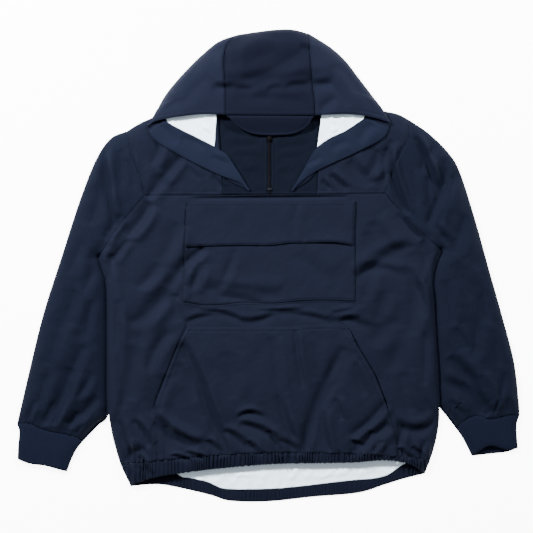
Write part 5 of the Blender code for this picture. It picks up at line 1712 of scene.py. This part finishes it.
class ANORAK_OT_back(bpy.types.Operator):
    """Makes the back and the lining in the hem's mouth"""
    bl_idname = "anorak.back"
    bl_label = "Back and lining"

    def execute(self, context):
        make_back()
        return {"FINISHED"}


class ANORAK_OT_front(bpy.types.Operator):
    """Makes the front, the kangaroo pocket, and the chest pocket with its flap"""
    bl_idname = "anorak.front"
    bl_label = "Front and pockets"

    def execute(self, context):
        make_front()
        return {"FINISHED"}


class ANORAK_OT_yokes(bpy.types.Operator):
    """Makes the left and right yokes"""
    bl_idname = "anorak.yokes"
    bl_label = "Yokes"

    def execute(self, context):
        make_yokes()
        return {"FINISHED"}


class ANORAK_OT_neck(bpy.types.Operator):
    """Makes the neck insert, its zip, slider and bottom stop"""
    bl_idname = "anorak.neck"
    bl_label = "Neck insert and zip"

    def execute(self, context):
        make_neck()
        return {"FINISHED"}


class ANORAK_OT_sleeves(bpy.types.Operator):
    """Makes the left and right sleeves"""
    bl_idname = "anorak.sleeves"
    bl_label = "Sleeves"

    def execute(self, context):
        make_sleeves()
        return {"FINISHED"}


class ANORAK_OT_cuffs(bpy.types.Operator):
    """Makes the two rib-knit cuffs"""
    bl_idname = "anorak.cuffs"
    bl_label = "Cuffs"

    def execute(self, context):
        make_cuffs()
        return {"FINISHED"}


class ANORAK_OT_hem(bpy.types.Operator):
    """Makes the gathered casings round the hem"""
    bl_idname = "anorak.hem"
    bl_label = "Hem"

    def execute(self, context):
        make_hem()
        return {"FINISHED"}


class ANORAK_OT_hood(bpy.types.Operator):
    """Makes the hood's three panels"""
    bl_idname = "anorak.hood"
    bl_label = "Hood"

    def execute(self, context):
        make_hood()
        return {"FINISHED"}


class ANORAK_OT_facings(bpy.types.Operator):
    """Makes the facings of the hood's front edges and the lining that shows"""
    bl_idname = "anorak.facings"
    bl_label = "Hood facings and lining"

    def execute(self, context):
        make_facings()
        return {"FINISHED"}


class ANORAK_OT_brim(bpy.types.Operator):
    """Makes the half-round brim"""
    bl_idname = "anorak.brim"
    bl_label = "Brim"

    def execute(self, context):
        make_brim()
        return {"FINISHED"}


class ANORAK_OT_sewing(bpy.types.Operator):
    """Makes every row of sewing that shows"""
    bl_idname = "anorak.sewing"
    bl_label = "Topstitching"

    def execute(self, context):
        make_sewing()
        return {"FINISHED"}


class ANORAK_OT_stage(bpy.types.Operator):
    """Makes the floor, lights, world and camera"""
    bl_idname = "anorak.stage"
    bl_label = "Stage"

    def execute(self, context):
        make_stage()
        return {"FINISHED"}


OPERATORS = (ANORAK_OT_finishes, ANORAK_OT_back, ANORAK_OT_front, ANORAK_OT_yokes,
             ANORAK_OT_neck, ANORAK_OT_sleeves, ANORAK_OT_cuffs, ANORAK_OT_hem,
             ANORAK_OT_hood, ANORAK_OT_facings, ANORAK_OT_brim, ANORAK_OT_sewing,
             ANORAK_OT_stage)
SETTINGS = (("anorak_colours", AnorakColours), ("anorak_sizes", AnorakSizes),
            ("anorak_stage", AnorakStage))


class ANORAK_PT_panel(bpy.types.Panel):
    """Buttons for each group of pieces, and their settings"""
    bl_label = "Anorak pullover"
    bl_space_type = "VIEW_3D"
    bl_region_type = "UI"
    bl_category = "Anorak"

    def draw(self, context):
        for kind in OPERATORS:
            self.layout.operator(kind.bl_idname)
        for name, kind in SETTINGS:
            group = getattr(context.scene, name)
            for setting in kind.__annotations__:
                self.layout.prop(group, setting)


def register():
    """Adds the settings, buttons and panel to Blender."""
    for kind in (AnorakColours, AnorakSizes, AnorakStage, *OPERATORS, ANORAK_PT_panel):
        bpy.utils.register_class(kind)
    for name, kind in SETTINGS:
        setattr(bpy.types.Scene, name, bpy.props.PointerProperty(type=kind))


def unregister():
    """Takes them away again."""
    for name, kind in SETTINGS:
        delattr(bpy.types.Scene, name)
    for kind in (ANORAK_PT_panel, *OPERATORS, AnorakStage, AnorakSizes, AnorakColours):
        bpy.utils.unregister_class(kind)


def main():
    """Builds every piece in order."""
    register()
    for kind in OPERATORS:
        group, name = kind.bl_idname.split(".")
        getattr(getattr(bpy.ops, group), name)()


if __name__ == "__main__":
    main()
